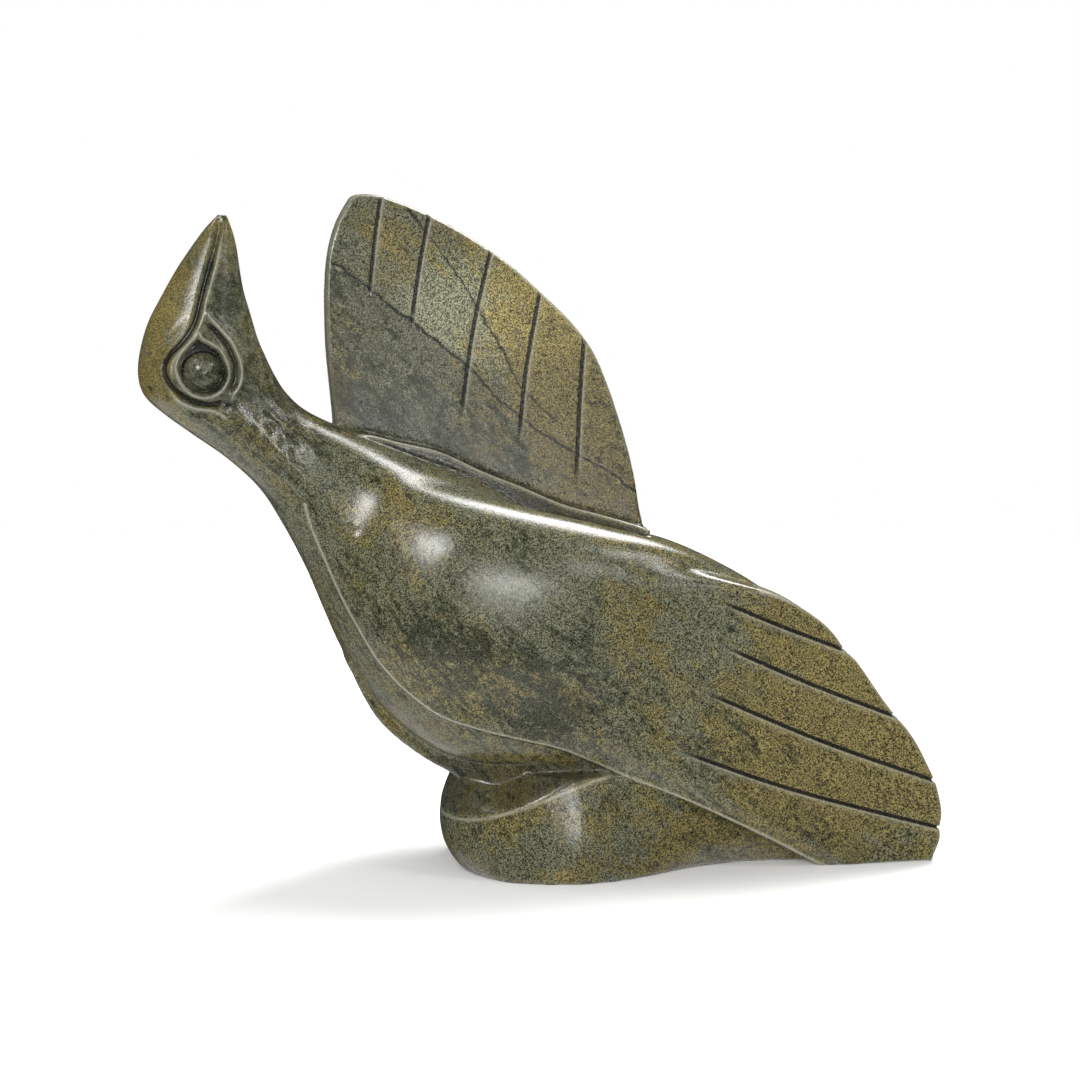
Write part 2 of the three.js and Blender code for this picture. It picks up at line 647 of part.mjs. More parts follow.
const stone = new THREE.MeshStandardMaterial({ color: 0x5c5b43, roughness: 0.3, metalness: 0 });
const bird = new THREE.Mesh(carved, stone);
bird.name = "bird";

const carvingGroup = new THREE.Group();
carvingGroup.name = "bird_carving";
carvingGroup.add(bird);
export default carvingGroup;
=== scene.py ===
import math
from concurrent.futures import ThreadPoolExecutor

import bpy
import numpy as np
from mathutils import Matrix, Vector


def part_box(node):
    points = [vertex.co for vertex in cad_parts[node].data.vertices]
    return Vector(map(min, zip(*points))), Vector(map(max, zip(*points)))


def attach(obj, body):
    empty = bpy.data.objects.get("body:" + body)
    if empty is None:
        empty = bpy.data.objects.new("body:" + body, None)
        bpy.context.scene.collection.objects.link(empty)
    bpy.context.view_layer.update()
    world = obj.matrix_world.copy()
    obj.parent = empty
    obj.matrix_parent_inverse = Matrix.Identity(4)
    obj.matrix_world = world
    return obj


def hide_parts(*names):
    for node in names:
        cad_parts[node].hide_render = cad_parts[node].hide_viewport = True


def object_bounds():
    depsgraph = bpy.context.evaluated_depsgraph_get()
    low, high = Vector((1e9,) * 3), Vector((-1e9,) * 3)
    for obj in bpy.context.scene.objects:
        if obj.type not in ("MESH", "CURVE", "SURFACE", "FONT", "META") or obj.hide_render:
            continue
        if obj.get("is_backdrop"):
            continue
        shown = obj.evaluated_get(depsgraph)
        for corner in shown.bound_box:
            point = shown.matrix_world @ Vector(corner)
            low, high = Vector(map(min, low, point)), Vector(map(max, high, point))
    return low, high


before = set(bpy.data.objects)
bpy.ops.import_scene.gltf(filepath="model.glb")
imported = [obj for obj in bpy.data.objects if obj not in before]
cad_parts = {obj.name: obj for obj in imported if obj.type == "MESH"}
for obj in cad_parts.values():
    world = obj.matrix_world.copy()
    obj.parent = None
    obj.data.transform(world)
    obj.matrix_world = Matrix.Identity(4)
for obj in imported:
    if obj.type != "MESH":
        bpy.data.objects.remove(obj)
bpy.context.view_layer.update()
MM = 0.001

# Fineness of the skin: first cells, and the longest edge on plain stone, on forms and on lines
CELL = 3.0
EDGE_PLAIN = 3.4
EDGE_HEAD = 1.45
EDGE_FORM = 2.05
EDGE_LINE = 0.66
EDGE_STEP = 1.2

# The work on the skin goes side by side, in parts of so many points
WORKERS = 4
PART = 12000

# Sizes of the forms. The solid's grooves are wider and deeper, its eyeballs smaller, and it has no valley.
WING_STEP = 3.6
GROOVE_DEPTH = 1.5
GROOVE_HALF = 0.85
EDGE_HALF = 0.9
EYE = {"x": -184, "z": 275.5, "ball": 11.2, "ball_y": 13.8, "depth": 5.6}
POCKET = {"x": -171.6, "z": 258.6}
BOX = {"x": (-224, 226), "y": (-76, 66), "z": (-10, 374)}
WING_FILLET = 12
VALLEY = {"y": -14, "half": 10}
NEAR_FACE = (-40, -34)
RIDGE_HALF = 4
RAISED_ROUND = 2
RAISED_FILLET = 2.5
ROOT_NEAR = -5
ROOT_THICK = 34
ROOT_ROUND = 1.2
ROOT_FILLET = 4
KEEL_ROUND = 2.5
KEEL_FILLET = 2
FOOT_WAIST_Z = 31
FOOT_ROUND = 1.2
FOOT_FILLET = 1.6

# Carved lines of the head: height, below zero where it is cut in, and half-width
HEAD_LINES = {
    "lid": (0.9, 0.9), "mouth": (-3.0, 1.5), "lip": (0.8, 0.9), "trough": (-1.9, 1.7),
    "outer_lid": (1.3, 1.5), "tail": (1.2, 1.3), "cheek": (-1.2, 3), "pocket": (-1.8, 3),
}

# Colours of the stone, of what fills its cracks and veins, of the painted shade in its cuts and shaded faces, and
# of the painted highlights on its sharp edges
GREY_GREEN = (0.098, 0.1, 0.062, 1)
OLIVE_BROWN = (0.13, 0.106, 0.037, 1)
NEAR_BLACK = (0.026, 0.029, 0.015, 1)
CRACK_DARK = (0.01, 0.011, 0.007, 1)
VEIN_DARK = (0.007, 0.008, 0.006, 1)
PAINTED_SHADE = (0.007, 0.007, 0.005, 1)
PAINTED_HIGHLIGHT_COLOUR = (0.36, 0.35, 0.27, 1)
FLOOR_PALE = (0.92, 0.92, 0.91, 1)

# Studio, in metres and degrees, with the camera's place in millimetres
FLOOR_REACH = 1.25
FLOOR_SIDES = 96
AIM = Vector((-0.02, 0, 0.18))
CAMERA_PLACE = Vector((-257.953, -1460.787, 412.942))
CAMERA_TURN = -10
CAMERA_RISE = 9
SENSOR = 36
FOCAL = 90.91

# Trunk from the beak to the tail. Each row is one rib, seen from the side.
# Upper x and z, lower x and z, y of its middle, near half-width, far half-width, upper and lower fullness.
RIBS = [
    (-169.4, 356.6, -173.8, 357.2, 0, 1.8, 1.8, 2, 2),
    (-166.4, 348, -180.8, 349.8, 0, 5, 5, 2.2, 1.9),
    (-164.2, 338.5, -188.8, 339.2, 0, 8, 8, 2.3, 1.8),
    (-162.6, 328, -196.4, 328, 0, 11, 11, 2.4, 1.75),
    (-160.5, 316, -204.8, 313.5, 0, 14.5, 14.5, 2.5, 1.75),
    (-157.4, 305, -211.8, 300, 0, 18, 18, 2.5, 1.8),
    (-153.8, 292, -216.3, 284.5, 0, 21.5, 21.5, 2.4, 1.95),
    (-149.6, 281.6, -217.3, 271.6, 0, 23.5, 23.5, 2.4, 2.1),
    (-144.8, 271.4, -213.8, 261.2, 0, 24, 24, 2.3, 2.3),
    (-139.2, 262.4, -203.7, 251.6, 0, 23, 23, 2.2, 2.2),
    (-130.2, 253.5, -189.6, 241, 0, 22.5, 22.5, 2.2, 2.2),
    (-117.4, 246.3, -170.4, 226.8, 0, 23, 23, 2.2, 2.2),
    (-102.8, 240.4, -153.6, 210.2, 0, 25, 25, 2.2, 2.2),
    (-85, 233.4, -141, 189.6, 0, 29, 29, 2.3, 2.2),
    (-66.6, 224.5, -129, 165.4, 0, 35, 36, 2.5, 2.2),
    (-47.4, 216, -120.6, 144.5, 0, 41, 43, 2.7, 2.2),
    (-31, 207.5, -111, 122, 0, 46, 50, 2.8, 2.2),
    (-14.3, 197.5, -97.5, 99, 0, 50, 56, 2.8, 2.4),
    (2.4, 189, -81.5, 81, 0, 53, 59, 2.8, 2.8),
    (22, 182, -56, 64, 0, 55, 61, 2.8, 3.6),
    (44.6, 178.4, -22.5, 57, 0, 55, 60, 2.8, 4.2),
    (67.3, 174.4, 11, 51, 0, 53, 52, 2.8, 4),
    (90, 164.8, 46, 38, 0, 48, 42, 2.7, 3.5),
    (116, 150.4, 92, 22, 0, 42, 32, 2.6, 3),
    (136.5, 136, 124, 8, 0, 34, 20, 2.5, 2.5),
]

# Bulge of the folded wing on the flank, in rows like those of the trunk
WING_RIBS = [
    (-108, 216, -122, 186, -12, 4, 4, 2, 2),
    (-96, 216, -116, 166, -19, 10, 8, 2, 2),
    (-78, 213, -106, 144, -28, 17, 12, 2.1, 2),
    (-48, 206.5, -86, 120, -35, 24.5, 14, 2.3, 2),
    (-10, 197, -60, 101, -38, 27, 15, 2.5, 2),
    (25, 188, -27, 90, -38, 27, 15, 2.5, 2),
    (58, 178.5, 8, 80, -38, 21, 14, 2.3, 2),
    (86, 165, 48, 66, -37, 12, 12, 2, 2),
    (104, 150, 80, 64, -35, 5, 8, 2, 2),
]

# Lower edge of the folded wing, from the neck back to the ground
WING_EDGE = [
    (-132.4, 204), (-129, 191), (-121, 171), (-115.5, 157.5), (-109.7, 145.5), (-98.3, 124.6),
    (-89.7, 113.5), (-81.4, 105), (-64, 92), (-42.3, 84.3), (-20.6, 78.3), (1.2, 72), (22.3, 62),
    (43.3, 52.7), (72.5, 40), (101.5, 25.4), (123.4, 14), (136.6, 6.5), (153, -2),
]

# Fan of the folded wing: crest, trailing edge, ground, lower edge, and back inside the body
FAN = [
    (24, 176), (46.5, 174.8), (79.7, 165.4), (102, 158.8), (116, 154.4), (130, 147.9), (144.4, 138.2),
    (153, 130), (159.4, 121), (166.4, 114), (173.6, 104), (181.2, 93), (188.9, 83), (196, 74.7),
    (202.4, 65.2), (209.2, 52), (212.4, 45), (214.8, 37.5), (216.8, 27), (215.8, 18.5), (216, 12),
    (213, 4), (207, -5), (180, -8), (153, -2), (136.6, 6.5), (123.4, 14), (101.5, 25.4),
    (72.5, 40), (43.3, 52.7), (22.3, 62), (1.2, 72), (-14, 90), (-10, 130),
]

# Raised wing outline
RAISED = [
    (-110.6, 228), (-110.8, 241.5), (-111.8, 255.5), (-114, 282.5), (-114.4, 304), (-114.2, 315),
    (-112.8, 331), (-109.7, 344.5), (-105.8, 354), (-101.2, 361.6), (-97.5, 365.6), (-88, 366.2),
    (-77, 363.6), (-61, 357.3), (-44.5, 349), (-28, 338.8), (-11.7, 327.3), (4.6, 312.5), (21, 296.3),
    (33, 280), (41.3, 260), (47.8, 239), (53.5, 216), (56.7, 193), (57.8, 183), (50, 168), (20, 160),
    (-60, 190),
]

# Thick root of the raised wing, whose top is a ledge
ROOT = [
    (-106, 228), (-98.5, 238.5), (-77, 233.8), (-55, 228), (-33, 217.4), (-10.5, 208), (12, 198),
    (34.4, 191.3), (56.6, 184.2), (60.6, 181), (54, 174), (20, 165), (-60, 200),
]

# Keel under the breast, which runs down into the foot
KEEL = [
    (-104, 142), (-109.6, 128), (-108.8, 115.6), (-104.3, 105.9), (-99.3, 94.9), (-92.9, 83.9), (-84.6, 74.6),
    (-75.6, 67.2), (-64.6, 60), (-54.4, 54.8), (-49, 50), (-46, 40), (-30, 20), (60, 20), (60, 60),
    (0, 100), (-70, 140),
]

# Foot: outline on the ground and at its widest, in plan
FOOT_GROUND = [
    (-42, 0), (-44, -27), (-31, -51.5), (-16, -60), (0, -64.2), (16, -65.2), (33, -62),
    (51.5, -55), (77, -42), (108, -35), (140, -38), (160, -34), (160, 4), (130, 20), (90, 32),
    (50, 42), (10, 44), (-20, 36), (-37, 20),
]
FOOT_WAIST = [
    (-57.6, 2), (-58.2, -24), (-45, -46.5), (-18, -61), (0, -65.8), (14, -66.8), (30, -64.2), (48, -59.4),
    (77, -50), (108, -42.5), (140, -39), (168, -30), (168, 6), (135, 25), (92, 38), (50, 47),
    (10, 49), (-26, 43), (-48, 26),
]

# Feather grooves, each from the outer edge inward
FAN_GROOVES = [
    [(162, 120), (123, 135.7), (87, 151.7)],
    [(192, 81.5), (136.5, 104.6), (86, 128.6)],
    [(216, 44), (145.5, 71.4), (70, 106.4)],
    [(221, 17), (131.7, 44), (56.6, 73.6)],
]
RAISED_GROOVES = [
    [(-82.3, 368), (-86.8, 341.5), (-91, 309)],
    [(-56, 357), (-63, 325), (-68.4, 292.7)],
    [(-22, 338), (-34, 292), (-43, 238)],
    [(5, 317), (-5, 270), (-10.3, 229.3)],
    [(28.3, 289), (24.7, 253), (21, 204)],
]

# Line of the mouth, from the tip of the beak round the front of the eye, and the fine edge beside it
MOUTH = [
    (-172.3, 358), (-174.5, 345), (-177.8, 334.5), (-181.2, 324), (-184.2, 313.7), (-186.7, 304.5),
    (-189.6, 298), (-194.4, 291.3), (-200.8, 284.8), (-203.9, 278), (-201.6, 270), (-195, 263.6),
    (-187.6, 260), (-178.5, 258.6), (-172.4, 260.9),
]
LIP = [
    (-170.2, 356.2), (-173, 342.3), (-175, 333.4), (-178.4, 322.5), (-181.6, 312.1), (-183.6, 304.3),
    (-186, 298.8), (-190.6, 292), (-195.9, 286.6), (-199.9, 281), (-200.6, 275.5), (-198.6, 270),
]

# Rim of the eye, the trough behind it, the outer lid and the tail of the lower lid
LID = [
    (-186.2, 296.4), (-184.6, 293.6), (-180.2, 291.1), (-175, 287.3), (-172, 282), (-170.5, 276.7),
    (-171.1, 271.5), (-174.4, 266.2), (-179.7, 263.2), (-186, 262.7), (-191.1, 264.9), (-195.2, 269.2),
    (-197.7, 274.5), (-198.1, 279.8), (-195.9, 285), (-191.7, 290.2), (-188, 293.6),
]
TROUGH = [
    (-183.4, 302), (-177.4, 297.6), (-172.3, 291.5), (-168.5, 284.6), (-167, 277), (-167.8, 270.5), (-171.5, 263.5),
]
OUTER_LID = [
    (-180.6, 309.5), (-179.9, 304.7), (-174.8, 298.4), (-169.7, 292.5), (-166.4, 286.6), (-164.2, 280.5),
    (-163.7, 274), (-165.2, 268.2), (-168.6, 263.5), (-170.2, 258.5),
]
TAIL = [(-202.5, 267), (-197, 260.6), (-188.7, 256.6), (-180.9, 255.6), (-175.4, 253.6), (-171, 249.8)]
NECK_RIDGES = [
    [(-159.5, 266.5), (-150, 257.5), (-141, 248.7), (-132, 240), (-120, 232.5)],
    [(-165, 258.3), (-154, 244.8), (-139.3, 226), (-123.6, 206.7), (-110.4, 190.2), (-106.8, 182)],
]

# Soft clouds of colour in the stone, seen from the side: x, z, reach, brownness and darkness; negative darkness
# makes the stone paler, and on the raised wing's middle that paleness partly stands in for painted sheen
CLOUDS = [
    (8, 300, 48, 0.9, -0.4), (40, 225, 38, 0.8, 0.1), (-118, 262, 20, 0.9, 0.1), (-84, 345, 17, 0.7, -0.2),
    (-48, 302, 32, -0.7, -0.7), (-108, 335, 24, -0.6, 0.0), (-78, 252, 36, -0.7, 0.3), (-14, 222, 24, 0.0, 0.2),
    (-92, 205, 20, 0.9, -0.1), (-5, 158, 34, -0.6, -0.15), (-62, 128, 32, 0.2, 0.7), (-8, 98, 36, 0.2, 0.8),
    (150, 105, 60, 1.0, -0.2), (196, 50, 40, 0.9, -0.05), (78, 134, 30, -0.7, -0.1), (84, 66, 24, -0.3, 0.4),
    (-30, 34, 16, 0.7, 0.1), (20, 30, 22, 0.5, 0.0), (-10, 17, 14, -0.9, -0.1), (30, 14, 20, -0.6, -0.1),
    (0, 2, 12, 0.7, -0.3), (60, 4, 24, 0.6, 0.0), (-203, 310, 24, 0.8, -0.3), (-214, 275, 18, 0.8, -0.1),
    (-170, 314, 15, -0.9, 0.9), (-184, 275, 14, -0.8, 0.5), (-150, 252, 30, 0.2, 0.7), (-118, 215, 22, -0.5, 0.1),
    (120, 20, 40, 0.6, 0.1), (-105, 165, 26, 0.0, 0.2), (40, 170, 30, 0.2, 0.0), (-30, 185, 22, -0.4, 0.1),
]

# Dark veins across the raised wing
VEIN_A = [
    (-128, 342), (-112.7, 332.2), (-90.2, 314.8), (-63.3, 293.9), (-36.2, 271.8), (-20.1, 254.2), (4.5, 234.7),
    (34.9, 216.6), (54, 204),
]
VEIN_B = [(-82, 374), (-69.6, 360.5), (-43, 325.1), (-35.1, 311.4), (-19.2, 284.1), (-8.7, 262.2), (7.7, 245.5)]


def mix(a, b, t):
    return a + (b - a) * t


def ease(low, high, x):
    t = np.clip((x - low) / (high - low), 0, 1)
    return t * t * (3 - 2 * t)


def join(a, b, k):
    """Union of two solids with a fillet of size k."""
    h = np.maximum(k - np.abs(a - b), 0) / k
    return np.minimum(a, b) - h * h * h * k / 6


def corner(a, b, r):
    """Corner of two faces rounded to radius r."""
    over_a, over_b = a + r, b + r
    inside = np.minimum(np.maximum(over_a, over_b), 0)
    return inside - r + np.hypot(np.maximum(over_a, 0), np.maximum(over_b, 0))


def curve(rows, steps, closed=False):
    """Smooth curve through rows of numbers."""
    rows = np.array(rows, float)
    n = len(rows)
    out = []
    for i in range(n if closed else n - 1):
        places = [(i + m) % n if closed else min(max(i + m, 0), n - 1) for m in (-1, 0, 1, 2)]
        a, b, c, d = rows[places]
        for t in np.arange(steps) / steps:
            out.append(b + 0.5 * t * (c - a + t * (2 * a - 5 * b + 4 * c - d + t * (3 * (b - c) + d - a))))
    if not closed:
        out.append(rows[-1])
    return np.array(out)


def to_line(line, x, z, reach=None):
    """Distance to a line, how far along it, and the side: positive on the left of its direction.
    With a reach, places further off than that are only called far."""
    if reach is not None:
        near = (x > line[:, 0].min() - reach) & (x < line[:, 0].max() + reach)
        near &= (z > line[:, 1].min() - reach) & (z < line[:, 1].max() + reach)
        best, along, side = np.full(x.shape, reach), np.zeros(x.shape), np.full(x.shape, reach)
        if near.any():
            best[near], along[near], side[near] = to_line(line, x[near], z[near])
        return best, along, side
    best = np.full(x.shape, 1e9)
    along = np.zeros(x.shape)
    side = np.zeros(x.shape)
    for i in range(len(line) - 1):
        ex, ez = line[i + 1] - line[i]
        px, pz = x - line[i, 0], z - line[i, 1]
        t = np.clip((px * ex + pz * ez) / (ex * ex + ez * ez), 0, 1)
        d = (px - ex * t) ** 2 + (pz - ez * t) ** 2
        closer = d < best
        best = np.where(closer, d, best)
        along = np.where(closer, (i + t) / (len(line) - 1), along)
        side = np.where(closer, ex * pz - ez * px, side)
    best = np.sqrt(best)
    return best, along, np.sign(side) * best


def to_outline(line, x, z):
    """Signed distance to a closed outline, negative inside."""
    best = np.full(x.shape, 1e9)
    inside = np.zeros(x.shape, bool)
    for i in range(len(line)):
        (jx, jz), (ix, iz) = line[i - 1], line[i]
        ex, ez = ix - jx, iz - jz
        px, pz = x - jx, z - jz
        t = np.clip((px * ex + pz * ez) / (ex * ex + ez * ez), 0, 1)
        best = np.minimum(best, (px - ex * t) ** 2 + (pz - ez * t) ** 2)
        if iz != jz:
            inside ^= ((iz > z) != (jz > z)) & (px < pz * (ex / ez))
    return np.where(inside, -1, 1) * np.sqrt(best)


ribs = curve(RIBS, 8)
wing_ribs = curve(WING_RIBS, 8)
wing_edge = curve(WING_EDGE, 4)
fan = curve(FAN, 4, True)
raised = curve(RAISED, 4, True)
root = curve(ROOT, 5, True)
keel = curve(KEEL, 5, True)
foot_ground = curve(FOOT_GROUND, 4, True)
foot_waist = curve(FOOT_WAIST, 4, True)
fan_grooves = [curve(g, 8) for g in FAN_GROOVES]
raised_grooves = [curve(g, 8) for g in RAISED_GROOVES]
mouth, lip, trough, outer_lid, tail = (curve(rows, 4) for rows in (MOUTH, LIP, TROUGH, OUTER_LID, TAIL))
lid = curve(LID, 4, True)
neck_ridges = [curve(g, 6) for g in NECK_RIDGES]
vein_a, vein_b = curve(VEIN_A, 4), curve(VEIN_B, 4)


def rib_place(r, x, z):
    """Place of points on a rib or row of ribs: height along it in halves, its half-length, and how far past it."""
    gx, gz = (r[..., 0] - r[..., 2]) / 2, (r[..., 1] - r[..., 3]) / 2
    h = np.hypot(gx, gz)
    px, pz = x - (r[..., 0] + r[..., 2]) / 2, z - (r[..., 1] + r[..., 3]) / 2
    return (px * gx + pz * gz) / (h * h), h, np.abs(px * gz - pz * gx) / h


def among_ribs(rows, x, z):
    """Place among the ribs of points seen from the side: s, h, mid, near, far, up, low, past."""
    n = len(x)
    best = np.full((8, n), 1e9)
    last = None
    for i, r in enumerate(rows):
        hx, hz = (r[0] - r[2]) / 2, (r[1] - r[3]) / 2
        turn = (x - (r[0] + r[2]) / 2) * hz - (z - (r[1] + r[3]) / 2) * hx
        if i > 0:
            hit = np.nonzero((turn > 0) != (last > 0))[0]
            if len(hit):
                t = last[hit] / (last[hit] - turn[hit])
                q = mix(rows[i - 1][None], r[None], t[:, None])
                s, h, _ = rib_place(q, x[hit], z[hit])
                closer = np.abs(s) < np.abs(best[0, hit])
                at = hit[closer]
                best[0, at], best[1, at] = s[closer], h[closer]
                best[2:7, at] = q[closer, 4:9].T
                best[7, at] = 0
        last = turn
    lost = np.nonzero(best[0] > 1e8)[0]
    if len(lost):
        ends = []
        for r in (rows[0], rows[-1]):
            s, h, past = rib_place(r, x[lost], z[lost])
            ends.append((past + np.abs(s * h), np.stack([s, s * 0 + h, *(s * 0 + v for v in r[4:9]), past])))
        best[:, lost] = np.where(ends[0][0] < ends[1][0], ends[0][1], ends[1][1])
    return best


def rib_field(c, across):
    s, h, mid, near, far, up, low, past = c
    y = across - mid
    w = np.where(y < 0, near, far)
    p = mix(low, up, ease(-0.3, 0.3, s))
    a = np.abs(s)
    b = np.abs(y) / w
    f = np.maximum((a**p + b**p) ** (1 / p), 1e-4)
    ga = (a / f) ** (p - 1) / h
    gb = (b / f) ** (p - 1) / w
    d = (f - 1) / np.hypot(ga, gb)
    return np.where(past > 0, np.hypot(np.maximum(d, 0), past), d)


def bell(d, width):
    return np.exp(-((d / width) ** 2))


def fade(along, start, end):
    """1 along a line, and down to 0 before its start and past its end."""
    return ease(0, start, along) * (1 - ease(end, 1, along))


def head_line(name, d):
    height, half = HEAD_LINES[name]
    return height * bell(d, half)


def grooves_at(lines, x, z):
    """Distance to the nearest of the grooves, its depth there from 0 to 1, as each fades out at its inner end,
    and the side."""
    best, depth, near_side = np.full(x.shape, 8.0), np.zeros(x.shape), np.full(x.shape, 8.0)
    for line in lines:
        d, along, side = to_line(line, x, z, 8)
        depth = np.where(d < best, 1 - ease(0.72, 1, along), depth)
        near_side = np.where(d < best, side, near_side)
        best = np.minimum(best, d)
    return best, depth, near_side


def head_relief(x, z):
    """Carving of the head, the same on both cheeks: depth added to the stone, distance to its lines, and
    the painted shade in its cuts and the painted highlights along its raised lines."""
    eye = to_outline(lid, x, z)
    mouth_d, along, side = to_line(mouth, x, z)
    lip_d, lip_along, lip_side = to_line(lip, x, z)
    trough_d, trough_along, _ = to_line(trough, x, z)
    outer_d, outer_along, outer_side = to_line(outer_lid, x, z)
    tail_d, tail_along, _ = to_line(tail, x, z)
    mouth_fade = ease(-0.02, 0.02, along) * (1 - ease(0.94, 1, along))
    lip_fade = fade(lip_along, 0.1, 0.85)
    trough_fade = fade(trough_along, 0.1, 0.85)
    outer_fade = fade(outer_along, 0.12, 0.85)
    tail_fade = fade(tail_along, 0.2, 0.85)
    by_eye = 1 - ease(292, 306, z)
    pocket = np.hypot(x - POCKET["x"], (z - POCKET["z"]) * 0.8)
    relief = -EYE["depth"] * (1 - ease(-3.1, -1.0, eye))
    relief += head_line("lid", eye)
    relief += mouth_fade * ease(0, 0.07, along) * head_line("mouth", mouth_d)
    relief += lip_fade * head_line("lip", lip_d)
    relief += mouth_fade * 0.6 * ease(-0.3, 1.4, lip_side) * (1 - by_eye) * (1 - ease(6, 16, lip_side))
    relief += trough_fade * head_line("trough", trough_d)
    relief += outer_fade * head_line("outer_lid", outer_d)
    relief += tail_fade * head_line("tail", tail_d)
    relief += by_eye * mouth_fade * head_line("cheek", side + 4.5)
    relief += head_line("pocket", pocket)
    reach = np.min([mouth_d, lip_d, trough_d, outer_d, tail_d, np.abs(eye + 2) - 2], axis=0)
    from_ball = np.hypot(x - EYE["x"], z - EYE["z"]) - EYE["ball"]
    gap = (1 - ease(-2.8, -1.4, eye)) * ease(-1.4, -0.4, from_ball)
    # Painted shade in the mouth's cut, the gap round the eyeball, the trough and the pocket
    dark = np.max([
        mouth_fade * bell(mouth_d, 1.5), gap, 0.8 * trough_fade * bell(trough_d, 1.8), 0.9 * bell(pocket, 3),
    ], axis=0)
    # Painted highlights along the eye's rim, the lip, the outer lid and the tail
    bright = 0.7 * np.max([
        bell(eye - 0.2, 0.6), lip_fade * bell(lip_d, 0.55), outer_fade * bell(outer_d, 0.7),
        tail_fade * bell(tail_d, 0.7),
    ], axis=0)
    return relief, reach, dark, bright


def side_on(x, z):
    """Everything that depends only on the place seen from the side."""
    c = {"trunk": among_ribs(ribs, x, z), "bulge": among_ribs(wing_ribs, x, z)}
    edge = to_line(wing_edge, x, z)[2]
    c["edge"] = edge
    # The head's painted shade and painted highlights, zero away from the head
    c["head"], c["line"], c["dark"], c["bright"] = np.zeros((4, *x.shape))
    c["line"] += 9
    head = (z > 240) & (x < -150)
    if head.any():
        c["head"][head], c["line"][head], c["dark"][head], c["bright"][head] = head_relief(x[head], z[head])
    c["neck"] = np.zeros(x.shape)
    for ridge in neck_ridges:
        away, along, _ = to_line(ridge, x, z, 24)
        c["neck"] += bell(away, RIDGE_HALF) * fade(along, 0.3, 0.7)
    valley_reach = ease(-118, -84, x) * (1 - ease(48, 66, x)) * ease(0.1, 0.5, c["trunk"][0])
    c["valley"] = (1.8 + 2.6 * ease(-70, 40, x)) * valley_reach
    c["wing"] = WING_STEP * ease(2, 48, (x - z + 336) / 2) * ease(-EDGE_HALF, EDGE_HALF, edge)
    c["fan"] = to_outline(fan, x, z) - 0.2
    c["fan_near"] = -(40 + 15.5 * ease(-20, 45, x) - 3 * ease(70, 200, x)) + 2.2 * (1 - ease(0, 11, edge))
    c["fan_thick"] = mix(30, 11, ease(60, 215, x))
    c["fan_round"] = mix(1.3, mix(9, 2, ease(60, 130, x)), ease(4, 14, edge))
    c["fan_join"] = np.minimum(mix(1.5, 20, ease(0, 16, edge)), mix(5, 20, ease(-2, 18, -c["fan"])))
    for name, lines in (("fan", fan_grooves), ("raised", raised_grooves)):
        line, depth, side = grooves_at(lines, x, z)
        c[name + "_line"] = line
        c[name + "_lip"] = bell(side - GROOVE_HALF - 0.45, 0.6) * depth
        c[name + "_groove"] = np.clip(1 - line / GROOVE_HALF, 0, 1) * depth
    c["raised"] = to_outline(raised, x, z)
    c["root"] = to_outline(root, x, z)
    c["raised_near"] = 6 + (z - 200) * 0.17
    c["raised_thick"] = mix(27, 11, ease(190, 366, z))
    c["keel"] = to_outline(keel, x, z)
    c["keel_half"] = 10 + 36 * ease(-100, 0, x)
    c["eye"] = np.hypot(x - EYE["x"], z - EYE["z"])
    return c


def foot_crest(x):
    """Height of the edge between the foot's round side and its facet."""
    return 31 + 27 * ease(-62, 40, x)


def from_above(x, y):
    """Everything that depends only on the place seen from above."""
    waist = to_outline(foot_waist, x, y)
    lean = mix(4.8, 9, ease(-45, 30, x))
    inset = np.maximum(-waist, 0)
    front = 1 - ease(-58, -22, x)
    crest = foot_crest(x)
    slope = mix(0.55, 3, front * front)
    facet = crest + slope * inset + 0.02 * inset * inset
    top = np.minimum(facet, mix(63, 57, ease(-56, -38, x)))
    return {"ground": to_outline(foot_ground, x, y), "waist": waist, "lean": lean, "top": top}


def plate(outline, near, thick, y, r):
    face = np.maximum(near - y, y - near - thick)
    return corner(outline, face, r)


def off_middle(c, y):
    """Distance from the raised wing's middle plane, as a share of its thickness."""
    return np.abs(y - c["raised_near"] - c["raised_thick"] / 2) / c["raised_thick"]


def carving(c, g, y, z, lines=True):
    """Depth under the stone's surface, negative inside."""
    d = rib_field(c["trunk"], y)
    d = join(d, rib_field(c["bulge"], y), WING_FILLET)
    near_side = 1 - ease(-7, 7, y)
    d = d + c["valley"] * bell(y - VALLEY["y"], VALLEY["half"])
    d = d - (c["neck"] * near_side + c["wing"] * (0.8 + 0.2 * near_side))
    blade = plate(c["fan"], c["fan_near"], c["fan_thick"], y, c["fan_round"])
    d = join(d, blade, c["fan_join"])
    if lines:
        d = d - c["head"] + GROOVE_DEPTH * c["fan_groove"] * (1 - ease(*NEAR_FACE, y))
    low = (1 - (1 - np.clip(z / FOOT_WAIST_Z, 0, 1)) ** 2) ** 0.6
    high = (np.maximum(z - 14, 0) / 44) ** 1.4
    wall = mix(g["ground"], g["waist"], low) + g["lean"] * high
    d = join(d, corner(wall, (z - g["top"]) * 0.8, FOOT_ROUND), FOOT_FILLET)
    d = join(d, corner(c["keel"], np.abs(y) - c["keel_half"], KEEL_ROUND), KEEL_FILLET)
    if lines:
        d = np.minimum(d, np.hypot(c["eye"], np.abs(y) - EYE["ball_y"]) - EYE["ball"])
    d = join(d, plate(c["root"], ROOT_NEAR, ROOT_THICK, y, ROOT_ROUND), ROOT_FILLET)
    wing = plate(c["raised"], c["raised_near"], c["raised_thick"], y, RAISED_ROUND)
    if lines:
        wing = wing + GROOVE_DEPTH * c["raised_groove"] * ease(0.3, 0.4, off_middle(c, y))
    return np.maximum(join(d, wing, RAISED_FILLET), -z)


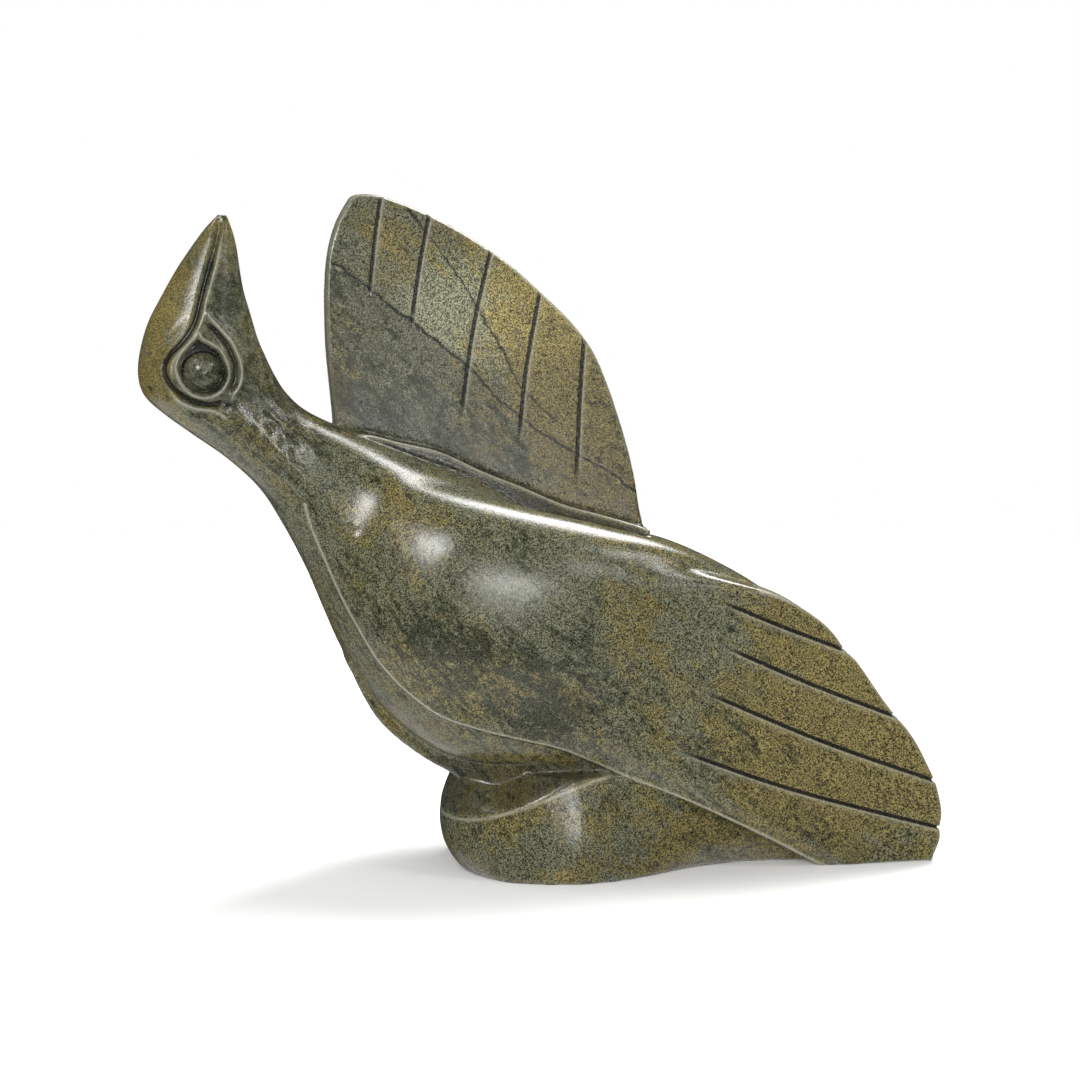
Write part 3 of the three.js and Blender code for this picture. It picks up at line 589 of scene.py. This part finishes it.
def axis(name):
    low, high = BOX[name]
    return low + CELL * np.arange(math.ceil((high - low) / CELL) + 1)


def in_parts(work, count, size):
    """Runs work(start, stop) over a range in parts, side by side."""
    starts = range(0, count, size)
    with ThreadPoolExecutor(WORKERS) as pool:
        return list(pool.map(lambda a: work(a, min(a + size, count)), starts))


def by_parts(work, p):
    """Runs work(x, y, z) over points in parts, side by side."""
    return np.concatenate(in_parts(lambda start, stop: work(*p[start:stop].T), len(p), PART))


def sample(xs, ys, zs):
    """Depths on a grid, without the thin lines."""

    def slab(start, stop):
        x, z = (v.ravel() for v in np.meshgrid(xs[start:stop], zs, indexing="ij"))
        c = {k: v[..., None] for k, v in side_on(x, z).items()}
        gx, gy = (v.ravel() for v in np.meshgrid(xs[start:stop], ys, indexing="ij"))
        count = stop - start
        g = {k: np.repeat(v.reshape(count, 1, -1), len(zs), 1).reshape(count * len(zs), -1)
             for k, v in from_above(gx, gy).items()}
        d = carving(c, g, ys[None, :], z[:, None], lines=False)
        return d.reshape(count, len(zs), len(ys)).transpose(0, 2, 1).astype(np.float32)

    return np.concatenate(in_parts(slab, len(xs), 4))


def settle(values):
    """Samples are nudged to the stone's side where the surface would touch itself."""
    for _ in range(12):
        changed = 0
        for a, b in ((0, 1), (0, 2), (1, 2)):
            v = np.moveaxis(values, (a, b), (0, 1))
            corners = [v[:-1, :-1], v[1:, :-1], v[:-1, 1:], v[1:, 1:]]
            stone = [w < 0 for w in corners]
            crossed = (stone[0] == stone[3]) & (stone[1] == stone[2]) & (stone[0] != stone[1])
            for i, j, k in np.argwhere(crossed):
                cell = [(i, j), (i + 1, j), (i, j + 1), (i + 1, j + 1)]
                pair = (1, 2) if v[i, j, k] < 0 else (0, 3)
                p, q = (cell[m] for m in pair)
                least = p if v[(*p, k)] < v[(*q, k)] else q
                v[(*least, k)] = -1e-3
                changed += 1
        if not changed:
            break
    return values


def skin(values, xs, ys, zs):
    """Surface of the samples: one point in each cell that it crosses, and two triangles at each crossing."""
    stone = values < 0
    shape = tuple(n - 1 for n in values.shape)
    offsets = [(a, b, c) for a in (0, 1) for b in (0, 1) for c in (0, 1)]
    count = np.zeros(shape, np.int8)
    for a, b, c in offsets:
        count += stone[a:a + shape[0], b:b + shape[1], c:c + shape[2]]
    cells = np.argwhere((count > 0) & (count < 8))
    corners = {o: values[tuple((cells + o).T)].astype(float) for o in offsets}
    total, crossed = np.zeros((len(cells), 3)), np.zeros(len(cells))
    for o in offsets:
        for m in range(3):
            if o[m]:
                continue
            p = tuple(1 if i == m else v for i, v in enumerate(o))
            hit = (corners[o] < 0) != (corners[p] < 0)
            t = np.where(hit, corners[o] / np.where(hit, corners[o] - corners[p], 1), 0)
            point = np.repeat(np.array([o], float), len(cells), 0)
            point[:, m] = t
            total += point * hit[:, None]
            crossed += hit
    points = cells + total / crossed[:, None]
    points = np.stack([BOX[n][0] + points[:, m] * CELL for m, n in enumerate("xyz")], 1)
    ids = np.full(shape, -1)
    ids[tuple(cells.T)] = np.arange(len(cells))
    faces = []
    for m in range(3):
        u, v = np.eye(3, dtype=int)[(m + 1) % 3], np.eye(3, dtype=int)[(m + 2) % 3]
        first = tuple(slice(0, -1) if i == m else slice(None) for i in range(3))
        second = tuple(slice(1, None) if i == m else slice(None) for i in range(3))
        at = np.argwhere(stone[first] != stone[second])
        ring = np.stack([ids[tuple((at - k).T)] for k in (u + v, v, 0 * u, u)], 1)
        outward = stone[first][tuple(at.T)]
        ring = np.where(outward[:, None], ring, ring[:, ::-1])
        faces += [ring[:, [0, 1, 2]], ring[:, [0, 2, 3]]]
    return points, np.concatenate(faces)


def depth_at(p, lines=True):
    return by_parts(lambda x, y, z: carving(side_on(x, z), from_above(x, y), y, z, lines), p)


def normals_at(p, reach):
    """Outward normals of the carving, from its depths a little to each side."""

    def slopes(x, y, z):
        here = side_on(x, z)
        steps = [
            carving(side_on(x + e, z), from_above(x + e, y), y, z) for e in (reach, -reach)
        ] + [
            carving(here, from_above(x, y + e), y + e, z) for e in (reach, -reach)
        ] + [
            carving(side_on(x, z + e), from_above(x, y), y, z + e) for e in (reach, -reach)
        ]
        return np.stack([steps[0] - steps[1], steps[2] - steps[3], steps[4] - steps[5]], 1)

    n = by_parts(slopes, p)
    return n / np.maximum(np.linalg.norm(n, axis=1), 1e-9)[:, None]


# cut carries the painted shade and ridge the painted highlights
MARKS = ("cut", "ridge", "brown", "deep", "calm", "vein_a", "vein_b")


def marks_at(p):
    """The stone's marks at each point: painted shade in its cuts and shaded faces, painted highlights on its sharp
    edges, how brown, how dark and how even it is, from 0 to 1, and the distance to each vein."""

    def marks(x, y, z):
        c = side_on(x, z)
        cheek = ease(4, 8, np.abs(y))
        faces = ease(0.3, 0.4, off_middle(c, y))
        near = 1 - ease(*NEAR_FACE, y)
        # Painted shade in the head's cuts and the feather grooves
        dark = np.max([c["dark"] * cheek, c["fan_groove"] * near, c["raised_groove"] * faces], axis=0)
        # Painted highlights along the raised wing's upper outline, the fan's outline, the wing's lower edge and the
        # root's ledge
        rim = 0.7 * bell(c["raised"], 1.2) * (y > 0) * (z > 215)
        rim = np.maximum(rim, bell(c["fan"], 1.2) * near * (x > 110))
        wing = bell(c["edge"] - EDGE_HALF, 0.55) * ease(0.5, 4, -y)
        from_root = np.abs(y - ROOT_NEAR)
        ledge = bell(c["root"], 0.9) * (from_root < 2.5) * (z > 182)
        root_top = (np.abs(c["root"]) < 2) * ease(-2.5, -1, y) * (y < 9)
        root_side = ease(1, 2.4, -c["root"]) * (from_root < 1.6)
        hull = np.maximum(root_side, root_top) * (z > 176) * (x < 59)
        crest = foot_crest(x)
        on_foot = (y < 0) * (x < 30) * (c["edge"] < -1) * (z < 64)
        foot_line = bell(z - crest, 0.7) * on_foot
        facet = ease(0.8, 3, z - crest) * on_foot * (1 - ease(12, 28, x))
        under = ease(0, 2, -c["edge"]) * (z < 140) * (x < 40) * (z > 58)
        # More painted shade on the root's near face under its ledge and on the foot's facet
        dark = np.max([dark, hull * 0.6, facet * 0.5], axis=0)
        # Painted highlights also along the grooves' rims and the foot's crest
        lips = np.maximum(c["fan_lip"] * near, c["raised_lip"] * faces)
        bright = np.max([c["bright"] * cheek, rim * 0.7, wing, ledge * 0.8, lips * 0.75, foot_line * 0.8], axis=0)
        head = ease(240, 262, z) * (1 - ease(-165, -140, x))
        calm = np.max([head, 0.5 * (1 - ease(-150, -90, x)), 0.8 * facet, 0.6 * under], axis=0)
        brown, deep = 0.35, 0.2
        for cx, cz, reach, brownness, darkness in CLOUDS:
            share = bell(np.hypot(x - cx, z - cz), reach)
            brown, deep = brown + brownness * share, deep + darkness * share
        on_wing = (y > 0) & (z > 195)
        veins = [np.where(on_wing, to_line(v, x, z)[2], 9) for v in (vein_a, vein_b)]
        deep = deep + 0.35 * ease(-1.5, 1.5, -veins[0]) * (1 - ease(-25, 5, x))
        return np.stack([dark, bright, brown, deep, calm, *np.clip(veins, -9, 9)], 1)

    return by_parts(marks, p)


def mesh_normals(points, faces):
    a, b, c = (points[faces[:, m]] for m in range(3))
    flat = np.cross(b - a, c - a)
    n = np.zeros_like(points)
    for m in range(3):
        np.add.at(n, faces[:, m], flat)
    return n / np.maximum(np.linalg.norm(n, axis=1), 1e-9)[:, None]


def wanted_edge(p):
    """Longest edge allowed at each point: short on carved lines and edges, longer on plain stone."""

    def edges(x, y, z):
        c = side_on(x, z)
        want = np.full(len(x), EDGE_PLAIN)
        forms = [np.abs(c["root"]), np.abs(c["raised"]), np.abs(c["fan"]), np.abs(c["edge"]) * 0.9]
        want[np.min(forms, axis=0) < 2.4] = EDGE_FORM
        want[(z > 236) & (x < -140)] = EDGE_HEAD
        want[(np.abs(c["edge"]) < 1.5) & (y < 4)] = EDGE_STEP
        foot = (y < -4) & (x < 32) & (c["edge"] < -1) & (z > 26) & (z < 66)
        want[foot] = EDGE_FORM
        want[foot & (np.abs(z - foot_crest(x)) < 1.8)] = EDGE_STEP
        want[(np.abs(c["root"]) < 1.3) & (np.abs(y - ROOT_NEAR) < 2.5) & (z > 180)] = EDGE_STEP
        faces = off_middle(c, y) > 0.3
        cut = (c["fan_line"] < 1.5) & (y < NEAR_FACE[1]) | (c["raised_line"] < 1.5) & faces & (z > 195)
        want[cut | (c["line"] < 1.6)] = EDGE_LINE
        want[cut & (y > c["raised_near"] + c["raised_thick"] / 2)] = EDGE_LINE * 1.8
        return want

    return by_parts(edges, p)


def split_long(points, faces, want):
    """Cuts every edge that is longer than wanted in two, and each triangle at its cut edges."""
    pairs = np.sort(faces[:, [[0, 1], [1, 2], [2, 0]]].reshape(-1, 2), 1)
    key = pairs[:, 0] * len(points) + pairs[:, 1]
    key, first, back = np.unique(key, return_index=True, return_inverse=True)
    ends = pairs[first]
    length = np.linalg.norm(points[ends[:, 0]] - points[ends[:, 1]], axis=1)
    cut = length > 1.35 * want[ends].min(1)
    ids = np.full(len(ends), -1)
    ids[cut] = len(points) + np.arange(cut.sum())
    points = np.concatenate([points, points[ends[cut]].mean(1)])
    mids = ids[back.reshape(-1, 3)]
    count = (mids >= 0).sum(1)
    out = [faces[count == 0]]
    for turn in range(3):
        order = [(turn + i) % 3 for i in range(3)]
        f, m = faces[:, order], mids[:, order]
        one = (count == 1) & (m[:, 0] >= 0)
        out.append(np.stack([f[one, 0], m[one, 0], f[one, 2]], 1))
        out.append(np.stack([m[one, 0], f[one, 1], f[one, 2]], 1))
        two = (count == 2) & (m[:, 2] < 0)
        a, b, c = f[two].T
        ab, bc = m[two, 0], m[two, 1]
        out += [np.stack([ab, b, bc], 1), np.stack([a, ab, bc], 1), np.stack([a, bc, c], 1)]
    full = count == 3
    a, b, c = faces[full].T
    ab, bc, ca = mids[full].T
    out += [np.stack(t, 1) for t in ((a, ab, ca), (ab, b, bc), (ca, bc, c), (ab, bc, ca))]
    return points, np.concatenate(out)


def settle_on(points, normals, rounds, lines=True, most=1.5):
    """Moves the points along their normals onto the carved surface, each step from the slope found by the last."""
    points = points.copy()
    off, last, step = np.arange(len(points)), None, None
    for _ in range(rounds):
        depth = depth_at(points[off], lines)
        slope = 1 if last is None else np.clip((last - depth) / step, 1, 6)
        step = np.clip(depth / slope, -most, most)
        points[off] -= normals[off] * step[:, None]
        on = np.abs(step) < 0.03
        off, last, step = off[~on], depth[~on], step[~on]
    return points


def pull_to_lines(points):
    """Points close to the bottom or a rim of a groove, or to the wing's lower edge, are moved onto it."""
    points = points.copy()
    jobs = [(line, 0.24, (0, -GROOVE_HALF, GROOVE_HALF)) for line in fan_grooves + raised_grooves]
    for line, reach, places in [*jobs, (wing_edge, 0.4, (-EDGE_HALF, EDGE_HALF))]:
        x, z = points[:, 0], points[:, 2]
        side = to_line(line, x, z, 3)[2]
        for at in places:
            near = np.nonzero(np.abs(side - at) < reach)[0]
            nx, nz, e = x[near], z[near], 0.02
            gx = (to_line(line, nx + e, nz)[2] - to_line(line, nx - e, nz)[2]) / (2 * e)
            gz = (to_line(line, nx, nz + e)[2] - to_line(line, nx, nz - e)[2]) / (2 * e)
            points[near, 0] -= (side[near] - at) * gx
            points[near, 2] -= (side[near] - at) * gz
    return points


def carve():
    """Points, triangles, normals and marks of the finished carving."""
    xs, ys, zs = (axis(n) for n in "xyz")
    points, faces = skin(settle(sample(xs, ys, zs)), xs, ys, zs)
    points = settle_on(points, mesh_normals(points, faces), 3, lines=False)
    for _ in range(3):
        points, faces = split_long(points, faces, wanted_edge(points))
        points = settle_on(points, mesh_normals(points, faces), 3, lines=False)
    smooth = mesh_normals(points, faces)
    points = settle_on(pull_to_lines(points), smooth, 7)
    points[:, 2] = np.maximum(points[:, 2], 0)
    return points, faces, normals_at(points, 0.3), marks_at(points)


points, faces, normals, marks = carve()

# The carving stands in the middle of the solid's box, on its underside
low, high = (np.array(v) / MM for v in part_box("bird"))
shift = (low + high) / 2 - (points.min(0) + points.max(0)) / 2
shift[2] = low[2] - points[:, 2].min()
middle = (low + high) / 2
points = points + shift
over = (high - low) / (points.max(0) - points.min(0))
points = (points - [middle[0], middle[1], 0]) * np.minimum(over, 1) + [middle[0], middle[1], 0]

mesh = bpy.data.meshes.new("carved_bird")
mesh.from_pydata((points * MM).tolist(), [], faces.tolist())
mesh.polygons.foreach_set("use_smooth", np.ones(len(mesh.polygons), bool))
mesh.normals_split_custom_set_from_vertices(normals.tolist())
for name, values in zip(MARKS, marks.T):
    mesh.attributes.new(name, "FLOAT", "POINT").data.foreach_set("value", values.astype(np.float32))
bird = bpy.data.objects.new("carved_bird", mesh)
bpy.context.scene.collection.objects.link(bird)


class Wire:
    """A socket of a shader; arithmetic on it adds Math nodes."""

    def __init__(self, nodes, socket):
        self.nodes, self.socket = nodes, socket

    def math(self, kind, *values):
        return self.nodes.node("ShaderNodeMath", {"operation": kind}, dict(enumerate((self, *values))))

    def __add__(self, other):
        return self.math("ADD", other)

    def __sub__(self, other):
        return self.math("SUBTRACT", other)

    def __rsub__(self, other):
        return self.nodes.node("ShaderNodeMath", {"operation": "SUBTRACT"}, {0: other, 1: self})

    def __mul__(self, other):
        return self.math("MULTIPLY", other)

    def __abs__(self):
        return self.math("ABSOLUTE")

    def over(self, low, high):
        """0 under low, 1 over high, smooth between."""
        values = {"Value": self, "From Min": low, "From Max": high}
        return self.nodes.node("ShaderNodeMapRange", {"interpolation_type": "SMOOTHSTEP"}, values)

    __radd__ = __add__
    __rmul__ = __mul__


class Nodes:
    """A tree of shader nodes, made one at a time."""

    def __init__(self, tree):
        self.tree = tree

    def node(self, kind, settings=None, inputs=None, out=0):
        made = self.tree.nodes.new(kind)
        for name, value in (settings or {}).items():
            setattr(made, name, value)
        for name, value in (inputs or {}).items():
            self.feed(made.inputs[name], value)
        return Wire(self, made.outputs[out])

    def feed(self, socket, value):
        if isinstance(value, Wire):
            self.tree.links.new(value.socket, socket)
        else:
            socket.default_value = value

    def noise(self, place, scale, detail=2.0, rough=0.5, warp=0.0):
        values = {"Vector": place, "Scale": scale, "Detail": detail, "Roughness": rough, "Distortion": warp}
        return self.node("ShaderNodeTexNoise", {}, values)

    def blend(self, share, a, b):
        values = {0: share, 6: a, 7: b}
        return self.node("ShaderNodeMix", {"data_type": "RGBA"}, values, out=2)


def new_material(name):
    """A material, its nodes and the sockets of its surface."""
    material = bpy.data.materials.new(name)
    material.use_nodes = True
    surface = next(n for n in material.node_tree.nodes if n.type == "BSDF_PRINCIPLED")
    return material, Nodes(material.node_tree), surface.inputs


def stone_material():
    material, s, surface = new_material("serpentine")
    place = s.node("ShaderNodeTexCoord", out="Object")
    # cut brings the painted shade, ridge the painted highlights
    cut, ridge, brown, deep, calm, long_vein, thin_vein = (
        s.node("ShaderNodeAttribute", {"attribute_name": name}, out=2) for name in MARKS
    )

    def bedded(*stretch):
        turn = (math.radians(48), math.radians(42), 0)
        values = {"Vector": place, "Rotation": turn, "Scale": stretch}
        return s.node("ShaderNodeMapping", {"vector_type": "TEXTURE"}, values)

    # Clouds of grey-green, brown and near-black, drawn out along the bedding
    cloud = s.noise(bedded(2.0, 1.2, 0.8), 30.0, 3.0, 0.55, 0.8)
    patch = s.noise(bedded(2.0, 1.2, 0.6), 90.0, 3.0, 0.6, 0.5)
    streak = s.noise(bedded(3.4, 1.2, 0.4), 190.0, 4.0, 0.65, 0.3)
    blotch = s.noise(place, 240.0, 4.0, 0.7, 0.4)
    warm = (brown + (cloud - 0.5) * 1.9 + (patch - 0.5) * 2.0 + (streak - 0.5) * 2.0).over(0.05, 0.95)
    dark = (deep + (patch - 0.5) * -2.2 + (streak - 0.5) * 2.6 + (blotch - 0.5) * 2.6).over(0.15, 1.15)
    # Paler where the clouds' darkness is negative; on the raised wing's middle this partly stands in for painted
    # sheen
    light = (0 - deep).over(-0.1, 0.5)
    base = s.blend(warm, GREY_GREEN, OLIVE_BROWN)
    base = s.blend(dark * 0.93, base, NEAR_BLACK)

    # Grain of small crystals, light and near-black
    grain = s.noise(place, 1250.0, 2.0, 0.75, 0.3)
    speck = grain.over(0.4, 0.62)
    gain = (0.15 + calm * 0.35 + speck * (1.75 - calm * 0.8)) * (1 + light * 0.9)
    base = s.node("ShaderNodeVectorMath", {"operation": "SCALE"}, {0: base, "Scale": gain})

    # Short dark cracks between crystals
    bend = s.node("ShaderNodeTexNoise", {}, {"Vector": place, "Scale": 260.0, "Detail": 2.0}, out=1)
    bent = s.node("ShaderNodeMix", {"data_type": "VECTOR"}, {0: 0.004, 4: place, 5: bend}, out=1)
    cell = s.node("ShaderNodeTexVoronoi", {"feature": "DISTANCE_TO_EDGE"}, {"Vector": bent, "Scale": 230.0})
    crack = (1 - cell.over(0.02, 0.11)) * (blotch * 0.5 + patch * 0.5).over(0.5, 0.62)
    base = s.blend(crack * 0.75, base, CRACK_DARK)

    # Veins across the raised wing
    wander = (s.noise(place, 140.0, 4.0, 0.7) - 0.5) * 7.0
    width = s.noise(place, 60.0, 2.0).over(0.3, 0.7) * 0.7
    off_vein = abs(long_vein + wander).over(0.3, 0.9 + width)
    off_branch = abs(thin_vein + wander).over(0.1, 0.6 + width)
    vein = (1 - off_vein) + (1 - off_branch) * 0.8
    base = s.blend(vein.over(0.0, 0.9) * 0.92, base, VEIN_DARK)

    # Painted shade in the cuts, the eye's socket and faces turned from the lamps, and painted highlights along
    # sharp edges
    base = s.blend(cut.over(0.2, 0.85) * 0.93, base, PAINTED_SHADE)
    base = s.blend(ridge * 0.75, base, PAINTED_HIGHLIGHT_COLOUR)

    s.feed(surface["Base Color"], base)
    s.feed(surface["Roughness"], 0.23 + (grain - 0.5) * 0.2 + crack * 0.1)
    s.feed(surface["IOR"], 1.56)
    s.feed(surface["Specular IOR Level"], 0.45)
    relief = {"Strength": 0.16, "Distance": 0.0005, "Height": grain - crack * 0.5}
    s.feed(surface["Normal"], s.node("ShaderNodeBump", {}, relief))
    return material


mesh.materials.append(stone_material())
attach(bird, "root")
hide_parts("bird")

# Plain pale floor
turns = np.linspace(0, math.tau, FLOOR_SIDES + 1)[:-1]
rim = [(FLOOR_REACH * math.cos(a), FLOOR_REACH * math.sin(a), 0) for a in turns]
floor_mesh = bpy.data.meshes.new("floor")
floor_mesh.from_pydata(rim, [], [tuple(range(FLOOR_SIDES))])
floor = bpy.data.objects.new("floor", floor_mesh)
bpy.context.scene.collection.objects.link(floor)
pale, pale_nodes, surface = new_material("pale_floor")
for name, value in {"Base Color": FLOOR_PALE, "Roughness": 0.8, "Specular IOR Level": 0.1}.items():
    pale_nodes.feed(surface[name], value)
floor_mesh.materials.append(pale)
floor.visible_glossy = False
floor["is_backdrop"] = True


def towards(turn, rise):
    """Direction away from the carving, at a turn from its near flank and a rise above the floor, in degrees."""
    turn, rise = math.radians(turn), math.radians(rise)
    return Vector((math.sin(turn) * math.cos(rise), -math.cos(turn) * math.cos(rise), math.sin(rise)))


def lamp_at(name, turn, rise, away, size, power):
    """A soft box in a direction and at a distance from the carving, turned to it."""
    data = bpy.data.lights.new(name, "AREA")
    data.shape = "RECTANGLE"
    data.size, data.size_y = size
    data.energy = power
    lamp = bpy.data.objects.new(name, data)
    lamp.location = AIM + towards(turn, rise) * away
    lamp.rotation_euler = (AIM - lamp.location).to_track_quat("-Z", "Y").to_euler()
    bpy.context.scene.collection.objects.link(lamp)


lamp_at("key_left", -33, 28, 2.2, (0.62, 0.5), 25)
lamp_at("window_front", 4, 4, 2.4, (0.12, 0.14), 11)
lamp_at("overhead", 135, 58, 1.8, (0.8, 1.2), 50)
lamp_at("high_left", -92, 58, 1.8, (0.5, 0.4), 9)
lamp_at("right_front", 30, 20, 2.2, (0.25, 0.25), 3)
lamp_at("right_high", 58, 39, 2.2, (0.35, 0.2), 7)

# White surroundings, which the camera sees in full, the stone's shading less, and its polish only faintly,
# but for what it reflects of the ground
world = bpy.data.worlds.new("studio")
bpy.context.scene.world = world
world.use_nodes = True
air = Nodes(world.node_tree)
around = world.node_tree.nodes["Background"].inputs
height = air.node("ShaderNodeSeparateXYZ", {}, {0: air.node("ShaderNodeTexCoord", out="Generated")}, out="Z")
from_ground = {"Value": height, "From Min": -0.45, "From Max": -0.75, "To Min": 0.05, "To Max": 1.2}
ground = air.node("ShaderNodeMapRange", {}, from_ground)
in_polish = air.node("ShaderNodeLightPath", out="Is Glossy Ray")
fill = air.node("ShaderNodeMapRange", {}, {"Value": in_polish, "To Min": 0.3, "To Max": ground})
seen = air.node("ShaderNodeLightPath", out="Is Camera Ray")
air.feed(around["Color"], (1, 1, 1, 1))
air.feed(around["Strength"], air.node("ShaderNodeMapRange", {}, {"Value": seen, "To Min": fill, "To Max": 1.0}))
bpy.context.scene.view_settings.view_transform = "Standard"

# Camera at the photograph's angle, 10 degrees to the left of the flank and 9 above it
away = towards(CAMERA_TURN, CAMERA_RISE)
right = towards(CAMERA_TURN + 90, 0)
lens = bpy.data.cameras.new("camera")
lens.sensor_width = SENSOR
lens.lens = FOCAL
camera = bpy.data.objects.new("camera", lens)
axes = Matrix((right, away.cross(right), away)).transposed().to_4x4()
camera.matrix_world = Matrix.Translation((CAMERA_PLACE + Vector(shift)) * MM) @ axes
bpy.context.scene.collection.objects.link(camera)
bpy.context.scene.camera = camera

low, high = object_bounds()
